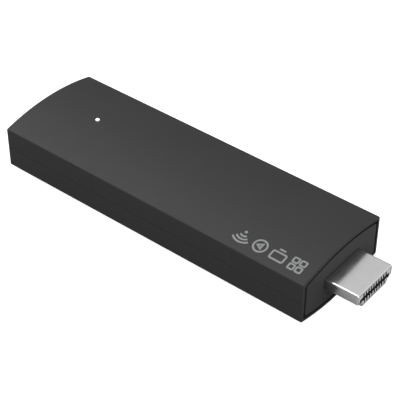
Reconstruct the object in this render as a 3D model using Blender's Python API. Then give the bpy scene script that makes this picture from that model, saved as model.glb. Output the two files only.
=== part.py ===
"""Streaming media player stick with an HDMI plug, modelled as an assembly of its real pieces.

Axes: +X runs along the body toward the HDMI plug, +Y points to the side with the power port
and the button, +Z is up. The origin is the centre of the footprint, on the lowest point.
Dimensions and coordinates are in millimetres until write_mesh turns them into metres.
"""

import math

import bmesh
import bpy
from mathutils import Matrix, Vector

MM = 0.001
SHARP_ANGLE = math.radians(35)

# ---------------------------------------------------------------- driving dimensions
BODY_LENGTH = 91.4
BODY_WIDTH = 30.5
SIDE_HEIGHT = 11.1
CROWN = 2.0
REST_WIDTH = 7.0
WALL = 1.1
PLUG_REACH = 9.5
PLUG_WIDTH = 13.9
PLUG_HEIGHT = 4.45
PLUG_DROP = 0.5
BOARD_THICKNESS = 1.0
LED_FROM_TAIL = 17.1
BUTTON_TRAVEL = 0.25

# Clearances: between two bought pieces that touch, and between a moulding and its neighbour.
TOUCH = 0.05
SLIP = 0.1

# ---------------------------------------------------------------- derived frame
TOTAL_LENGTH = BODY_LENGTH + PLUG_REACH
TAIL_X = -TOTAL_LENGTH / 2
END_X = TAIL_X + BODY_LENGTH
TIP_X = TOTAL_LENGTH / 2
HALF_WIDTH = BODY_WIDTH / 2
CROWN_RADIUS = (HALF_WIDTH**2 + CROWN**2) / (2 * CROWN)
# The arched bottom is cut off by a narrow flat, so that the stick doesn't rock where it lies.
REST_SAGITTA = CROWN_RADIUS - math.sqrt(CROWN_RADIUS**2 - (REST_WIDTH / 2) ** 2)
BODY_HEIGHT = SIDE_HEIGHT + 2 * CROWN - REST_SAGITTA
MID_Z = SIDE_HEIGHT / 2 + CROWN - REST_SAGITTA
PLUG_Z = MID_Z - PLUG_DROP
BOARD_LOW = PLUG_Z - BOARD_THICKNESS / 2
BOARD_TOP = PLUG_Z + BOARD_THICKNESS / 2

# ---------------------------------------------------------------- casing
CORNER_RADIUS = 0.4
EDGE_RADIUS = 0.3
CROWN_STEPS = 9
CORNER_STEPS = 3
EDGE_STEPS = 2
SEAM_GAP = 0.1
LIP_THICKNESS = 0.45
LIP_HEIGHT = 0.8
LIP_ROOT = 1.0
LIP_FRONT_X = END_X - 2.6
HOOK_PLACES = (TAIL_X + 6.0, 0.0, END_X - 13.0)
HOOK_WIDTH = 4.0
HOOK_NOSE_DROP = 1.9
RIB_PLACES = (-18.0, 26.0)
RIB_THICKNESS = 0.8
RIB_HALF_SPAN = 12.0

# ---------------------------------------------------------------- end panel
PANEL_GAP = 0.3
PANEL_THICKNESS = 1.5
FLANGE_THICKNESS = 0.8
FLANGE_DEPTH = 0.45
PANEL_CORNER = 0.5

# ---------------------------------------------------------------- light pipe
LED_X = TAIL_X + LED_FROM_TAIL
PIPE_RADIUS = 0.5
PIPE_STEM_RADIUS = 0.8
PIPE_FLANGE_RADIUS = 1.2
PIPE_FLANGE_THICKNESS = 0.6
PIPE_COLLAR_RADIUS = 1.8
PIPE_COLLAR_LENGTH = 1.8
LED_HEIGHT = 0.6

# ---------------------------------------------------------------- HDMI plug
PLUG_SHEET = 0.35
PLUG_LIP = 0.55
PLUG_LIP_LENGTH = 0.3
PLUG_NOSE_RADIUS = 0.3
PLUG_REAR_X = END_X - 4.45
CAVITY_HALF_WIDTH = 5.9
CAVITY_TOP = 0.67
CAVITY_LOW = -0.78
CAVITY_REAR_X = END_X - 0.8
SLOT_WIDTH = 0.5
SLOT_REACH = 1.5
CONTACT_PITCH = 1.0
CONTACT_WIDTH = 0.4
CONTACT_THICKNESS = 0.2
CONTACT_LEVEL = 0.9
UPPER_CONTACTS = 10
LOWER_CONTACTS = 9
LEG_THICKNESS = 0.3
LEG_FRONT_X = PLUG_REAR_X + 0.4
LEG_REAR_X = PLUG_REAR_X - 3.5
LEG_WIDTH = 1.2

# ---------------------------------------------------------------- main board
BOARD_REAR_X = TAIL_X + 1.85
BOARD_FRONT_X = PLUG_REAR_X - 0.3
BOARD_HALF_WIDTH = 12.9
BOARD_CORNER = 1.0
SCREW_PLACES = {"board_screw_front": (29.0, -9.0), "board_screw_rear": (-43.5, 4.0)}
SCREW_RADIUS = 0.75
SCREW_HEAD_RADIUS = 1.4
SCREW_HEAD_HEIGHT = 0.9
SCREW_LENGTH = 4.0
BOSS_RADIUS = 1.8

# ---------------------------------------------------------------- shield and heat path
SHIELD_LOW_X = -4.0
SHIELD_HIGH_X = 23.0
SHIELD_HALF_WIDTH = 12.0
SHIELD_SHEET = 0.25
SHIELD_HEIGHT = 1.6
SHIELD_RIM = 1.0
LID_SKIRT = 1.1
CHIP_HEIGHT = 1.0
PAD_THICKNESS = 1.5
SPREADER_THICKNESS = 1.0
SPREADER_LOW_X = -20.0
SPREADER_HIGH_X = 30.0
SPREADER_HALF_WIDTH = 11.0
SPREADER_POST_RADIUS = 1.0

# ---------------------------------------------------------------- micro-USB power port
USB_X = -36.0
USB_WIDTH = 7.5
USB_HEIGHT = 2.6
USB_DEPTH = 5.2
USB_SHEET = 0.3
USB_CHAMFER = 0.9
USB_MOUTH_Y = HALF_WIDTH - WALL - SLIP
USB_OPENING_WIDTH = 8.3
USB_OPENING_HEIGHT = 3.3
USB_OPENING_RADIUS = 0.9
USB_TONGUE_WIDTH = 3.7
USB_TONGUE_THICKNESS = 0.6
USB_TONGUE_LENGTH = 3.2
USB_BASE_LENGTH = 1.3
USB_CONTACTS = 5
USB_PITCH = 0.65
USB_CONTACT_WIDTH = 0.3
USB_CONTACT_THICKNESS = 0.15

# ---------------------------------------------------------------- button and its switch
BUTTON_X = -24.0
BUTTON_WIDTH = 3.4
BUTTON_HEIGHT = 1.5
BUTTON_RECESS = 0.05
BUTTON_FLANGE_WIDTH = 4.6
BUTTON_FLANGE_HEIGHT = 2.5
BUTTON_FLANGE_THICKNESS = 0.6
NUB_RADIUS = 0.6
SWITCH_FRONT_Y = 12.3
SWITCH_DEPTH = 2.2
SWITCH_WIDTH = 4.4
SWITCH_HEIGHT = 1.9
SWITCH_SHEET = 0.15
SWITCH_POCKET = 1.7
SWITCH_POCKET_DEPTH = 1.6
PLUNGER_WIDTH = 1.1
PLUNGER_HEIGHT = 0.7
PLUNGER_STICKS_OUT = BUTTON_TRAVEL + 0.2
DOME_RADIUS = 0.8
DOME_RISE = 0.3
DOME_THICKNESS = 0.1
BUTTON_Z = BOARD_LOW - TOUCH - SWITCH_SHEET - TOUCH - SWITCH_HEIGHT / 2

# ---------------------------------------------------------------- materials
# Each finish is (linear red, green, blue), roughness, metallic.
FINISHES = {
    "case": ((0.045, 0.045, 0.047), 0.55, 0.0),
    "panel": ((0.040, 0.038, 0.039), 0.45, 0.0),
    "steel": ((0.62, 0.61, 0.61), 0.25, 1.0),
    "tin": ((0.70, 0.69, 0.66), 0.35, 1.0),
    "gold": ((0.83, 0.61, 0.26), 0.30, 1.0),
    "grey_resin": ((0.36, 0.36, 0.37), 0.50, 0.0),
    "black_resin": ((0.02, 0.02, 0.02), 0.50, 0.0),
    "board": ((0.01, 0.09, 0.04), 0.40, 0.0),
    "pad": ((0.35, 0.42, 0.52), 0.85, 0.0),
    "aluminium": ((0.75, 0.76, 0.77), 0.40, 1.0),
    "ferrite": ((0.10, 0.10, 0.11), 0.70, 0.0),
    "tantalum": ((0.75, 0.48, 0.10), 0.45, 0.0),
    "clear": ((0.85, 0.88, 0.90), 0.10, 0.0),
    "led": ((0.90, 0.85, 0.60), 0.30, 0.0),
}


def finish_material(node, finish):
    """The node's own Principled material."""
    colour, roughness, metallic = FINISHES[finish]
    material = bpy.data.materials.new(node + "_finish")
    material.use_nodes = True
    shader = material.node_tree.nodes["Principled BSDF"]
    shader.inputs["Base Color"].default_value = (*colour, 1.0)
    shader.inputs["Roughness"].default_value = roughness
    shader.inputs["Metallic"].default_value = metallic
    material.diffuse_color = (*colour, 1.0)
    return material


# ---------------------------------------------------------------- outlines
def rounded(points, radii, steps):
    """The polygon with each corner of non-zero radius replaced by an arc."""
    outline = []
    count = len(points)
    for index, radius in enumerate(radii):
        corner = Vector(points[index])
        if radius <= 0:
            outline.append(tuple(corner))
            continue
        before = (Vector(points[index - 1]) - corner).normalized()
        after = (Vector(points[(index + 1) % count]) - corner).normalized()
        half_angle = before.angle(after) / 2
        tangent = radius / math.tan(half_angle)
        centre = corner + (before + after).normalized() * radius / math.sin(half_angle)
        start = corner + before * tangent - centre
        turn = start.angle_signed(corner + after * tangent - centre)
        for step in range(steps + 1):
            # angle_signed is positive clockwise, and a 2-D rotation is anticlockwise.
            arm = start.copy()
            arm.rotate(Matrix.Rotation(-turn * step / steps, 2))
            outline.append(tuple(centre + arm))
    return outline


def rectangle(centre, width, height, radius=0.0, steps=CORNER_STEPS):
    a, b = centre
    points = [
        (a + width / 2, b + height / 2),
        (a - width / 2, b + height / 2),
        (a - width / 2, b - height / 2),
        (a + width / 2, b - height / 2),
    ]
    return rounded(points, [radius] * 4, steps)


def inset_corners(points, distance):
    """The anticlockwise polygon's corners after every side moves inward by distance."""
    moved = []
    for index, point in enumerate(points):
        corner = Vector(point)
        arriving = (corner - Vector(points[index - 1])).normalized()
        leaving = (Vector(points[(index + 1) % len(points)]) - corner).normalized()
        normals = Vector((-arriving.y, arriving.x)), Vector((-leaving.y, leaving.x))
        scale = distance / (1 + normals[0].dot(normals[1]))
        moved.append(tuple(corner + (normals[0] + normals[1]) * scale))
    return moved


def strip_outline(path, thickness):
    """A bent strip of even thickness whose middle line is the open path."""
    sides = [[], []]
    for index, point in enumerate(path):
        here = Vector(point)
        normals = []
        for other in (index - 1, index + 1):
            if 0 <= other < len(path):
                run = (Vector(path[other]) - here) * (other - index)
                normals.append(Vector((-run.y, run.x)).normalized())
        middle = sum(normals, Vector((0.0, 0.0))).normalized()
        reach = thickness / 2 / middle.dot(normals[0])
        sides[0].append(tuple(here + middle * reach))
        sides[1].append(tuple(here - middle * reach))
    return sides[0] + sides[1][::-1]


def crown_rise(y, inset=0.0):
    """Height of the arched face above the mid-plane, at a distance y from the centre line."""
    centre = SIDE_HEIGHT / 2 + CROWN - CROWN_RADIUS
    return centre + math.sqrt((CROWN_RADIUS - inset) ** 2 - y**2)


def crown_points(inset, side, half=None):
    """Points along the upper (side 1) or lower (side -1) arched face, in anticlockwise order.

    Each side takes CROWN_STEPS steps down to the middle facet, which is the resting flat below.
    """
    half = HALF_WIDTH - inset if half is None else half
    middle = REST_WIDTH / 2 if side < 0 else half / (2 * CROWN_STEPS + 1)
    reaches = [half - (half - middle) * step / CROWN_STEPS for step in range(CROWN_STEPS + 1)]
    points = []
    for y in reaches + [-reach for reach in reversed(reaches)]:
        points.append((side * y, MID_Z + side * crown_rise(y, inset)))
    return points


def end_radii(count, radius):
    return [radius] + [0.0] * (count - 2) + [radius]


def lens_outline(inset, radius):
    """The body's whole cross-section: straight sides and arched top and bottom."""
    points = []
    radii = []
    for side in (1, -1):
        arc = crown_points(inset, side)
        points += arc
        radii += end_radii(len(arc), radius)
    return rounded(points, radii, CORNER_STEPS)


def half_lens_outline(side):
    """One casing half's outer cross-section, ending at the seam."""
    arc = crown_points(0.0, side)
    seam = MID_Z + side * SEAM_GAP / 2
    points = arc + [(-side * HALF_WIDTH, seam), (side * HALF_WIDTH, seam)]
    return rounded(points, end_radii(len(arc), CORNER_RADIUS) + [0.0, 0.0], CORNER_STEPS)


def plug_outline(inset):
    """The HDMI type A plug's cross-section: wide above, stepping in to a narrow bottom."""
    half = PLUG_WIDTH / 2
    top = PLUG_HEIGHT / 2
    corners = [(half, top, 0.8), (half, -0.5, 0.55), (5.55, -1.15, -0.35), (4.95, -top, 0.55)]
    points = []
    radii = []
    for y, z, radius in corners:
        points.append((y, PLUG_Z + z))
        # A negative radius marks the inner corner of the step, which grows as the others shrink.
        radii.append(max(radius - inset, 0.1) if radius > 0 else inset - radius)
    left = [(-y, z) for y, z in points[::-1]]
    clockwise = points + left
    inner = inset_corners(clockwise[::-1], inset)
    return rounded(inner, (radii + radii[::-1])[::-1], CORNER_STEPS)


# ---------------------------------------------------------------- solids
def prism(outline, axis, low, high):
    """The outline extruded along an axis; its pairs are the other two coordinates in X, Y, Z order."""
    bm = bmesh.new()
    place = "XYZ".index(axis)
    rings = []
    for level in (low, high):
        ring = []
        for pair in outline:
            coordinates = list(pair)
            coordinates.insert(place, level)
            ring.append(bm.verts.new(coordinates))
        rings.append(ring)
    bm.faces.new(rings[0][::-1])
    bm.faces.new(rings[1])
    for index in range(len(outline)):
        following = (index + 1) % len(outline)
        bm.faces.new((rings[0][index], rings[0][following], rings[1][following], rings[1][index]))
    bmesh.ops.recalc_face_normals(bm, faces=bm.faces)
    return bm


def block(x, y, z, radius=0.0):
    """A box between pairs of limits, with its upright edges rounded."""
    centre = ((x[0] + x[1]) / 2, (y[0] + y[1]) / 2)
    return prism(rectangle(centre, x[1] - x[0], y[1] - y[0], radius), "Z", *z)


def turned(profile, steps, centre=(0.0, 0.0)):
    """A solid of revolution about an upright axis, from (radius, height) pairs of its outer side."""
    bm = bmesh.new()
    rings = []
    for radius, height in profile:
        ring = []
        for step in range(steps):
            angle = 2 * math.pi * step / steps
            x = centre[0] + radius * math.cos(angle)
            y = centre[1] + radius * math.sin(angle)
            ring.append(bm.verts.new((x, y, height)))
        rings.append(ring)
    for lower, upper in zip(rings, rings[1:]):
        for step in range(steps):
            following = (step + 1) % steps
            bm.faces.new((lower[step], lower[following], upper[following], upper[step]))
    bm.faces.new(rings[0][::-1])
    bm.faces.new(rings[-1])
    bmesh.ops.recalc_face_normals(bm, faces=bm.faces)
    return bm


def cylinder(centre, radius, low, high, steps=24):
    return turned([(radius, low), (radius, high)], steps, centre)


def together(*shapes):
    """Several shapes as one mesh, for a cutter or an addition of separate solids."""
    bm = bmesh.new()
    for shape in shapes:
        mesh = bpy.data.meshes.new("shape")
        shape.to_mesh(mesh)
        bm.from_mesh(mesh)
        bpy.data.meshes.remove(mesh)
    return bm


def shade(mesh):
    mesh.shade_smooth()
    mesh.set_sharp_from_angle(angle=SHARP_ANGLE)


def write_mesh(name, bm, origin=(0.0, 0.0, 0.0)):
    """The shape as an object whose origin is the given point, in metres."""
    bmesh.ops.translate(bm, verts=bm.verts, vec=-Vector(origin))
    bmesh.ops.scale(bm, verts=bm.verts, vec=(MM, MM, MM))
    mesh = bpy.data.meshes.new(name)
    bm.to_mesh(mesh)
    bm.free()
    shade(mesh)
    piece = bpy.data.objects.new(name, mesh)
    piece.location = Vector(origin) * MM
    bpy.context.scene.collection.objects.link(piece)
    return piece


def make(name, bm, finish, origin=(0.0, 0.0, 0.0)):
    piece = write_mesh(name, bm, origin)
    piece.data.materials.append(finish_material(name, finish))
    return piece


def boolean(piece, label, operation, bm):
    """Adds or removes a shape, through a hidden helper that apply_booleans clears away."""
    helper = write_mesh(piece.name + "_" + label, bm)
    helper.hide_render = True
    helper.display_type = "WIRE"
    modifier = piece.modifiers.new(label, "BOOLEAN")
    modifier.operation = operation
    modifier.solver = "EXACT"
    modifier.object = helper


def cut(piece, label, bm):
    boolean(piece, label, "DIFFERENCE", bm)


def add(piece, label, bm):
    boolean(piece, label, "UNION", bm)


def bevel_edges(bm, chosen, offset, segments):
    edges = [edge for edge in bm.edges if chosen(edge)]
    bmesh.ops.bevel(bm, geom=edges, offset=offset, segments=segments, profile=0.5, affect="EDGES")


# ---------------------------------------------------------------- casing halves
def rounded_half(side):
    """One half of the body as a solid, with its end edges rounded but not its seam."""
    bm = prism(half_lens_outline(side), "X", TAIL_X, END_X)
    seam = MID_Z + side * SEAM_GAP / 2

    def is_end_edge(edge):
        first, second = (vertex.co for vertex in edge.verts)
        on_seam = abs(first.z - seam) < TOUCH and abs(second.z - seam) < TOUCH
        return abs(first.x - second.x) < TOUCH and not on_seam

    bevel_edges(bm, is_end_edge, EDGE_RADIUS, EDGE_STEPS)
    return bm


def cavity():
    return prism(lens_outline(WALL, CORNER_RADIUS), "X", TAIL_X + WALL, END_X + 1.0)


def panel_groove():
    """The slot round the mouth of the body that holds the end panel's flange."""
    front = END_X - PANEL_THICKNESS + TOUCH
    rear = END_X - PANEL_THICKNESS - FLANGE_THICKNESS - TOUCH
    return prism(lens_outline(WALL - FLANGE_DEPTH - TOUCH, CORNER_RADIUS), "X", rear, front)


def lip_block(inset, front, low, high):
    half = HALF_WIDTH - inset
    return block((TAIL_X + inset, front), (-half, half), (low, high))


def hooks():
    """Snap arms that hang from the top shell inside the side walls."""
    root = 2.6
    arm_out = WALL + SLIP
    arm_in = arm_out + 0.7
    nose = WALL - 0.25
    profile = [
        (WALL - 0.2, root),
        (arm_in, root),
        (arm_in, -HOOK_NOSE_DROP),
        (arm_out + 0.15, -HOOK_NOSE_DROP),
        (nose, -HOOK_NOSE_DROP + 0.7),
        (arm_out, -HOOK_NOSE_DROP + 0.9),
        (arm_out, LIP_HEIGHT + 0.2),
        (WALL - 0.2, LIP_HEIGHT + 0.2),
    ]
    arms = []
    for side in (1, -1):
        outline = [(side * (HALF_WIDTH - inset), MID_Z + rise) for inset, rise in profile]
        for x in HOOK_PLACES:
            arms.append(prism(outline, "X", x - HOOK_WIDTH / 2, x + HOOK_WIDTH / 2))
    return together(*arms)


def hook_pockets():
    """Pockets in the bottom shell's side walls for the snap arms' noses."""
    half = HOOK_WIDTH / 2 + 0.2
    low = MID_Z - HOOK_NOSE_DROP - 0.2
    depth = HALF_WIDTH - WALL + 0.4
    pockets = []
    for side in (1, -1):
        y = sorted((side * depth, side * (HALF_WIDTH - WALL - 0.3)))
        for x in HOOK_PLACES:
            pockets.append(block((x - half, x + half), y, (low, low + 1.3)))
    return together(*pockets)


def spreader_posts(top_of_spreader):
    """Pins under the top shell that press the heat spreader onto its pad."""
    posts = []
    for x in (SPREADER_LOW_X + 3.0, SPREADER_HIGH_X - 3.0):
        for y in (-SPREADER_HALF_WIDTH + 3.0, SPREADER_HALF_WIDTH - 3.0):
            roof = MID_Z + crown_rise(y, WALL / 2)
            posts.append(cylinder((x, y), SPREADER_POST_RADIUS, top_of_spreader + TOUCH, roof, 16))
    return together(*posts)


def top_shell():
    piece = make("top_shell", rounded_half(1), "case")
    cut(piece, "cavity", cavity())
    cut(piece, "panel_groove", panel_groove())
    rebate = WALL - LIP_THICKNESS - TOUCH
    rebate_top = MID_Z + LIP_HEIGHT + SLIP
    cut(piece, "lip_rebate", lip_block(rebate, LIP_FRONT_X + SLIP, MID_Z - 1.0, rebate_top))
    add(piece, "hooks", hooks())
    add(piece, "spreader_posts", spreader_posts(spreader_levels()[1]))
    roof = MID_Z + crown_rise(0.0, WALL / 2)
    under_crown = MID_Z + crown_rise(0.0, WALL)
    collar = cylinder((LED_X, 0.0), PIPE_COLLAR_RADIUS, under_crown - PIPE_COLLAR_LENGTH, roof)
    add(piece, "pipe_collar", collar)
    bore = [
        (PIPE_FLANGE_RADIUS + SLIP, under_crown - PIPE_COLLAR_LENGTH - 1.0),
        (PIPE_FLANGE_RADIUS + SLIP, under_crown - SLIP),
        (PIPE_RADIUS + TOUCH, under_crown - SLIP),
        (PIPE_RADIUS + TOUCH, BODY_HEIGHT + 1.0),
    ]
    cut(piece, "pipe_bore", turned(bore, 24, (LED_X, 0.0)))


def board_ribs():
    """Cross ribs that the board rests on, rising from the arched floor."""
    ribs = []
    floor = crown_points(WALL / 2, -1, RIB_HALF_SPAN)
    outline = floor + [(RIB_HALF_SPAN, BOARD_LOW - TOUCH), (-RIB_HALF_SPAN, BOARD_LOW - TOUCH)]
    for x in RIB_PLACES:
        ribs.append(prism(outline, "X", x - RIB_THICKNESS / 2, x + RIB_THICKNESS / 2))
    return together(*ribs)


def screw_bosses():
    bosses = []
    for x, y in SCREW_PLACES.values():
        floor = MID_Z - crown_rise(y, WALL / 2)
        bosses.append(cylinder((x, y), BOSS_RADIUS, floor, BOARD_LOW - TOUCH))
    return together(*bosses)


def screw_pilots():
    low = BOARD_TOP + TOUCH - SCREW_LENGTH - 0.3
    pilots = []
    for place in SCREW_PLACES.values():
        pilots.append(cylinder(place, SCREW_RADIUS + TOUCH, low, BOARD_LOW + 1.0))
    return together(*pilots)


def bottom_shell():
    piece = make("bottom_shell", rounded_half(-1), "case")
    lip = lip_block(WALL - LIP_THICKNESS, LIP_FRONT_X, MID_Z - LIP_ROOT, MID_Z + LIP_HEIGHT)
    add(piece, "lip", lip)
    cut(piece, "cavity", cavity())
    cut(piece, "panel_groove", panel_groove())
    cut(piece, "hook_pockets", hook_pockets())
    add(piece, "screw_bosses", screw_bosses())
    cut(piece, "screw_pilots", screw_pilots())
    add(piece, "board_ribs", board_ribs())
    through = (HALF_WIDTH - 3.0, HALF_WIDTH + 1.0)
    port = rectangle((USB_X, usb_centre_z()), USB_OPENING_WIDTH, USB_OPENING_HEIGHT, USB_OPENING_RADIUS)
    cut(piece, "port_opening", prism(port, "Y", *through))
    cut(piece, "button_opening", prism(button_outline(SLIP), "Y", *through))


def end_panel():
    """The flat plate round the plug, held by its flange in the groove of both shells."""
    plate = lens_outline(WALL + PANEL_GAP, PANEL_CORNER)
    flange = lens_outline(WALL - FLANGE_DEPTH, CORNER_RADIUS)
    flange_front = END_X - PANEL_THICKNESS
    flange_rear = flange_front - FLANGE_THICKNESS
    piece = make("end_panel", prism(plate, "X", flange_front - FLANGE_THICKNESS / 2, END_X), "panel")
    add(piece, "flange", prism(flange, "X", flange_rear, flange_front))
    cut(piece, "plug_opening", prism(plug_outline(-SLIP), "X", flange_rear - 1.0, END_X + 1.0))


def led_light_pipe():
    top = MID_Z + crown_rise(0.0)
    under_crown = MID_Z + crown_rise(0.0, WALL) - 2 * SLIP
    low = BOARD_TOP + TOUCH + LED_HEIGHT + 0.25
    profile = [
        (PIPE_STEM_RADIUS, low),
        (PIPE_STEM_RADIUS, under_crown - PIPE_FLANGE_THICKNESS),
        (PIPE_FLANGE_RADIUS, under_crown - PIPE_FLANGE_THICKNESS),
        (PIPE_FLANGE_RADIUS, under_crown),
        (PIPE_RADIUS, under_crown),
        (PIPE_RADIUS, top - 0.1),
        (PIPE_RADIUS * 0.7, top),
    ]
    make("led_light_pipe", turned(profile, 24, (LED_X, 0.0)), "clear")


# ---------------------------------------------------------------- HDMI plug
def hdmi_plug_shell():
    """The sheet-metal shell, rolled in at its nose, with two legs soldered into the board."""
    body = prism(plug_outline(0.0), "X", PLUG_REAR_X, TIP_X)

    def is_nose_edge(edge):
        return all(abs(vertex.co.x - TIP_X) < TOUCH for vertex in edge.verts)

    bevel_edges(body, is_nose_edge, PLUG_NOSE_RADIUS, CORNER_STEPS)
    piece = make("hdmi_plug_shell", body, "steel")
    lip_x = TIP_X - PLUG_LIP_LENGTH
    cut(piece, "hollow", prism(plug_outline(PLUG_SHEET), "X", PLUG_REAR_X - 1.0, lip_x))
    cut(piece, "mouth", prism(plug_outline(PLUG_LIP), "X", lip_x - 1.0, TIP_X + 1.0))
    outer = PLUG_WIDTH / 2 - 0.02
    high = PLUG_Z + 1.2
    waist = BOARD_TOP + 0.3
    foot = BOARD_LOW - 0.6
    profile = [
        (LEG_REAR_X, foot),
        (LEG_REAR_X + LEG_WIDTH, foot),
        (LEG_REAR_X + LEG_WIDTH, waist),
        (LEG_FRONT_X, waist),
        (LEG_FRONT_X, high),
        (LEG_REAR_X, high),
    ]
    legs = []
    for side in (1, -1):
        limits = sorted((side * outer, side * (outer - LEG_THICKNESS)))
        legs.append(prism(profile, "Y", *limits))
    add(piece, "legs", together(*legs))


def contact_rows():
    """(first number, count, side) of the upper and the lower row of contacts."""
    return ((1, UPPER_CONTACTS, 1), (UPPER_CONTACTS + 1, LOWER_CONTACTS, -1))


def contact_places(count):
    return [(index - (count - 1) / 2) * CONTACT_PITCH for index in range(count)]


def hdmi_insulator():
    """The moulded core: a wide central cavity with a slot above or below it for each contact."""
    front = TIP_X - PLUG_LIP_LENGTH - TOUCH
    rear = PLUG_REAR_X + 0.1
    core = prism(plug_outline(PLUG_SHEET + TOUCH), "X", rear, front)
    piece = make("hdmi_insulator", core, "grey_resin")
    half = CAVITY_HALF_WIDTH
    tongue_space = block((CAVITY_REAR_X, TIP_X), (-half, half), (PLUG_Z + CAVITY_LOW, PLUG_Z + CAVITY_TOP))
    cut(piece, "cavity", tongue_space)
    slots = []
    for _, count, side in contact_rows():
        levels = sorted((PLUG_Z + side * (CAVITY_TOP - 0.1), PLUG_Z + side * SLOT_REACH))
        for y in contact_places(count):
            sides = (y - SLOT_WIDTH / 2, y + SLOT_WIDTH / 2)
            slots.append(block((rear - 1.0, TIP_X), sides, levels))
    cut(piece, "slots", together(*slots))


def contact_path(side):
    """A contact's side view: solder tail on the board, jog, long beam and sprung nose."""
    tail = BOARD_THICKNESS / 2 + TOUCH + CONTACT_THICKNESS / 2
    stations = [
        (PLUG_REAR_X - 1.9, tail),
        (PLUG_REAR_X - 0.7, tail),
        (PLUG_REAR_X - 0.1, CONTACT_LEVEL),
        (TIP_X - 2.9, CONTACT_LEVEL),
        (TIP_X - 1.8, CAVITY_TOP + 0.05),
        (TIP_X - 0.9, CONTACT_LEVEL + 0.05),
    ]
    return [(x, PLUG_Z + side * rise) for x, rise in stations]


def hdmi_contacts():
    for first, count, side in contact_rows():
        outline = strip_outline(contact_path(side), CONTACT_THICKNESS)
        for index, y in enumerate(contact_places(count)):
            sides = (y - CONTACT_WIDTH / 2, y + CONTACT_WIDTH / 2)
            make(f"hdmi_contact_{first + index:02d}", prism(outline, "Y", *sides), "gold")


# ---------------------------------------------------------------- main board and its parts
def main_board():
    x = (BOARD_REAR_X, BOARD_FRONT_X)
    y = (-BOARD_HALF_WIDTH, BOARD_HALF_WIDTH)
    piece = make("main_board", block(x, y, (BOARD_LOW, BOARD_TOP), BOARD_CORNER), "board")
    levels = (BOARD_LOW - 1.0, BOARD_TOP + 1.0)
    openings = [cylinder(place, SCREW_RADIUS + 0.15, *levels) for place in SCREW_PLACES.values()]
    leg_middle = PLUG_WIDTH / 2 - LEG_THICKNESS / 2
    leg_x = (LEG_REAR_X - SLIP, LEG_REAR_X + LEG_WIDTH + SLIP)
    for side in (1, -1):
        reach = LEG_THICKNESS / 2 + SLIP
        y = (side * leg_middle - reach, side * leg_middle + reach)
        openings.append(block(leg_x, y, levels))
    cut(piece, "openings", together(*openings))


def board_part(name, centre, size, finish, radius=0.0, under=False):
    """A component that lies on the board, or hangs under it."""
    x, y = centre
    width, depth, height = size
    low = BOARD_LOW - TOUCH - height if under else BOARD_TOP + TOUCH
    limits = (x - width / 2, x + width / 2), (y - depth / 2, y + depth / 2), (low, low + height)
    return make(name, block(*limits, radius), finish)


def board_parts():
    board_part("soc_package", (14.5, 0.0), (14.0, 14.0, CHIP_HEIGHT), "black_resin", 0.2)
    board_part("memory_chip_1", (1.8, 5.8), (8.0, 11.0, CHIP_HEIGHT), "black_resin", 0.1)
    board_part("memory_chip_2", (1.8, -5.8), (8.0, 11.0, CHIP_HEIGHT), "black_resin", 0.1)
    board_part("flash_chip", (12.0, 0.0), (11.5, 13.0, CHIP_HEIGHT), "black_resin", 0.1, under=True)
    board_part("power_chip", (-9.5, 1.5), (4.0, 4.0, 0.85), "black_resin", 0.1)
    board_part("crystal", (-9.0, 6.0), (3.2, 2.5, 0.75), "tin", 0.4)
    board_part("power_inductor_1", (-9.0, -9.5), (4.0, 4.0, 1.8), "ferrite", 0.5)
    board_part("power_inductor_2", (-9.0, -4.5), (4.0, 4.0, 1.8), "ferrite", 0.5)
    board_part("bulk_capacitor", (-17.0, 7.5), (3.5, 2.8, 1.9), "tantalum", 0.1)
    board_part("led_chip", (LED_X, 0.0), (1.6, 0.8, LED_HEIGHT), "led")


def wireless_module():
    """A small carrier board with a shield can over its chips."""
    low = BOARD_TOP + TOUCH
    piece = make("wireless_module", block((-25.0, -13.0), (-11.0, 1.0), (low, low + 0.6)), "tin")
    add(piece, "can", block((-24.4, -13.6), (-10.4, 0.4), (low + 0.3, low + 1.7), 0.6))


def antenna_outline(length):
    """A stamped inverted-F strip: a long arm on a ground leg, a feed leg and an end foot."""
    low = BOARD_TOP + TOUCH
    top = low + 4.0
    arm = top - 1.2
    leg = 0.8
    feed = 3.2
    foot = 0.6
    return [
        (0.0, low),
        (leg, low),
        (leg, arm),
        (feed, arm),
        (feed, low),
        (feed + leg, low),
        (feed + leg, arm),
        (length - foot, arm),
        (length - foot, low),
        (length, low),
        (length, top),
        (0.0, top),
    ]


def antennas():
    """One strip along the side near the tail, and one across the tail."""
    thickness = 0.3
    side_outline = [(-30.0 - run, z) for run, z in antenna_outline(17.0)]
    edge = -BOARD_HALF_WIDTH + 0.3
    make("antenna_main", prism(side_outline, "Y", edge, edge + thickness), "tin")
    tail_outline = [(8.5 - run, z) for run, z in antenna_outline(16.0)]
    edge = BOARD_REAR_X + 0.5
    make("antenna_aux", prism(tail_outline, "X", edge, edge + thickness), "tin")


def board_screws():
    """Pan-head screws with a crossed recess, through the board into the bottom shell."""
    head_low = BOARD_TOP + TOUCH
    top = head_low + SCREW_HEAD_HEIGHT
    for name, (x, y) in SCREW_PLACES.items():
        profile = [
            (SCREW_RADIUS * 0.6, head_low - SCREW_LENGTH),
            (SCREW_RADIUS, head_low - SCREW_LENGTH + 0.5),
            (SCREW_RADIUS, head_low),
            (SCREW_HEAD_RADIUS, head_low),
            (SCREW_HEAD_RADIUS, top - 0.35),
            (SCREW_HEAD_RADIUS * 0.8, top - 0.05),
            (SCREW_HEAD_RADIUS * 0.5, top),
        ]
        piece = make(name, turned(profile, 24, (x, y)), "steel")
        reach = 0.8
        half = 0.15
        for label, across, along in (("recess_x", reach, half), ("recess_y", half, reach)):
            slot = block((x - across, x + across), (y - along, y + along), (top - 0.5, top + 0.5))
            cut(piece, label, slot)


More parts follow.
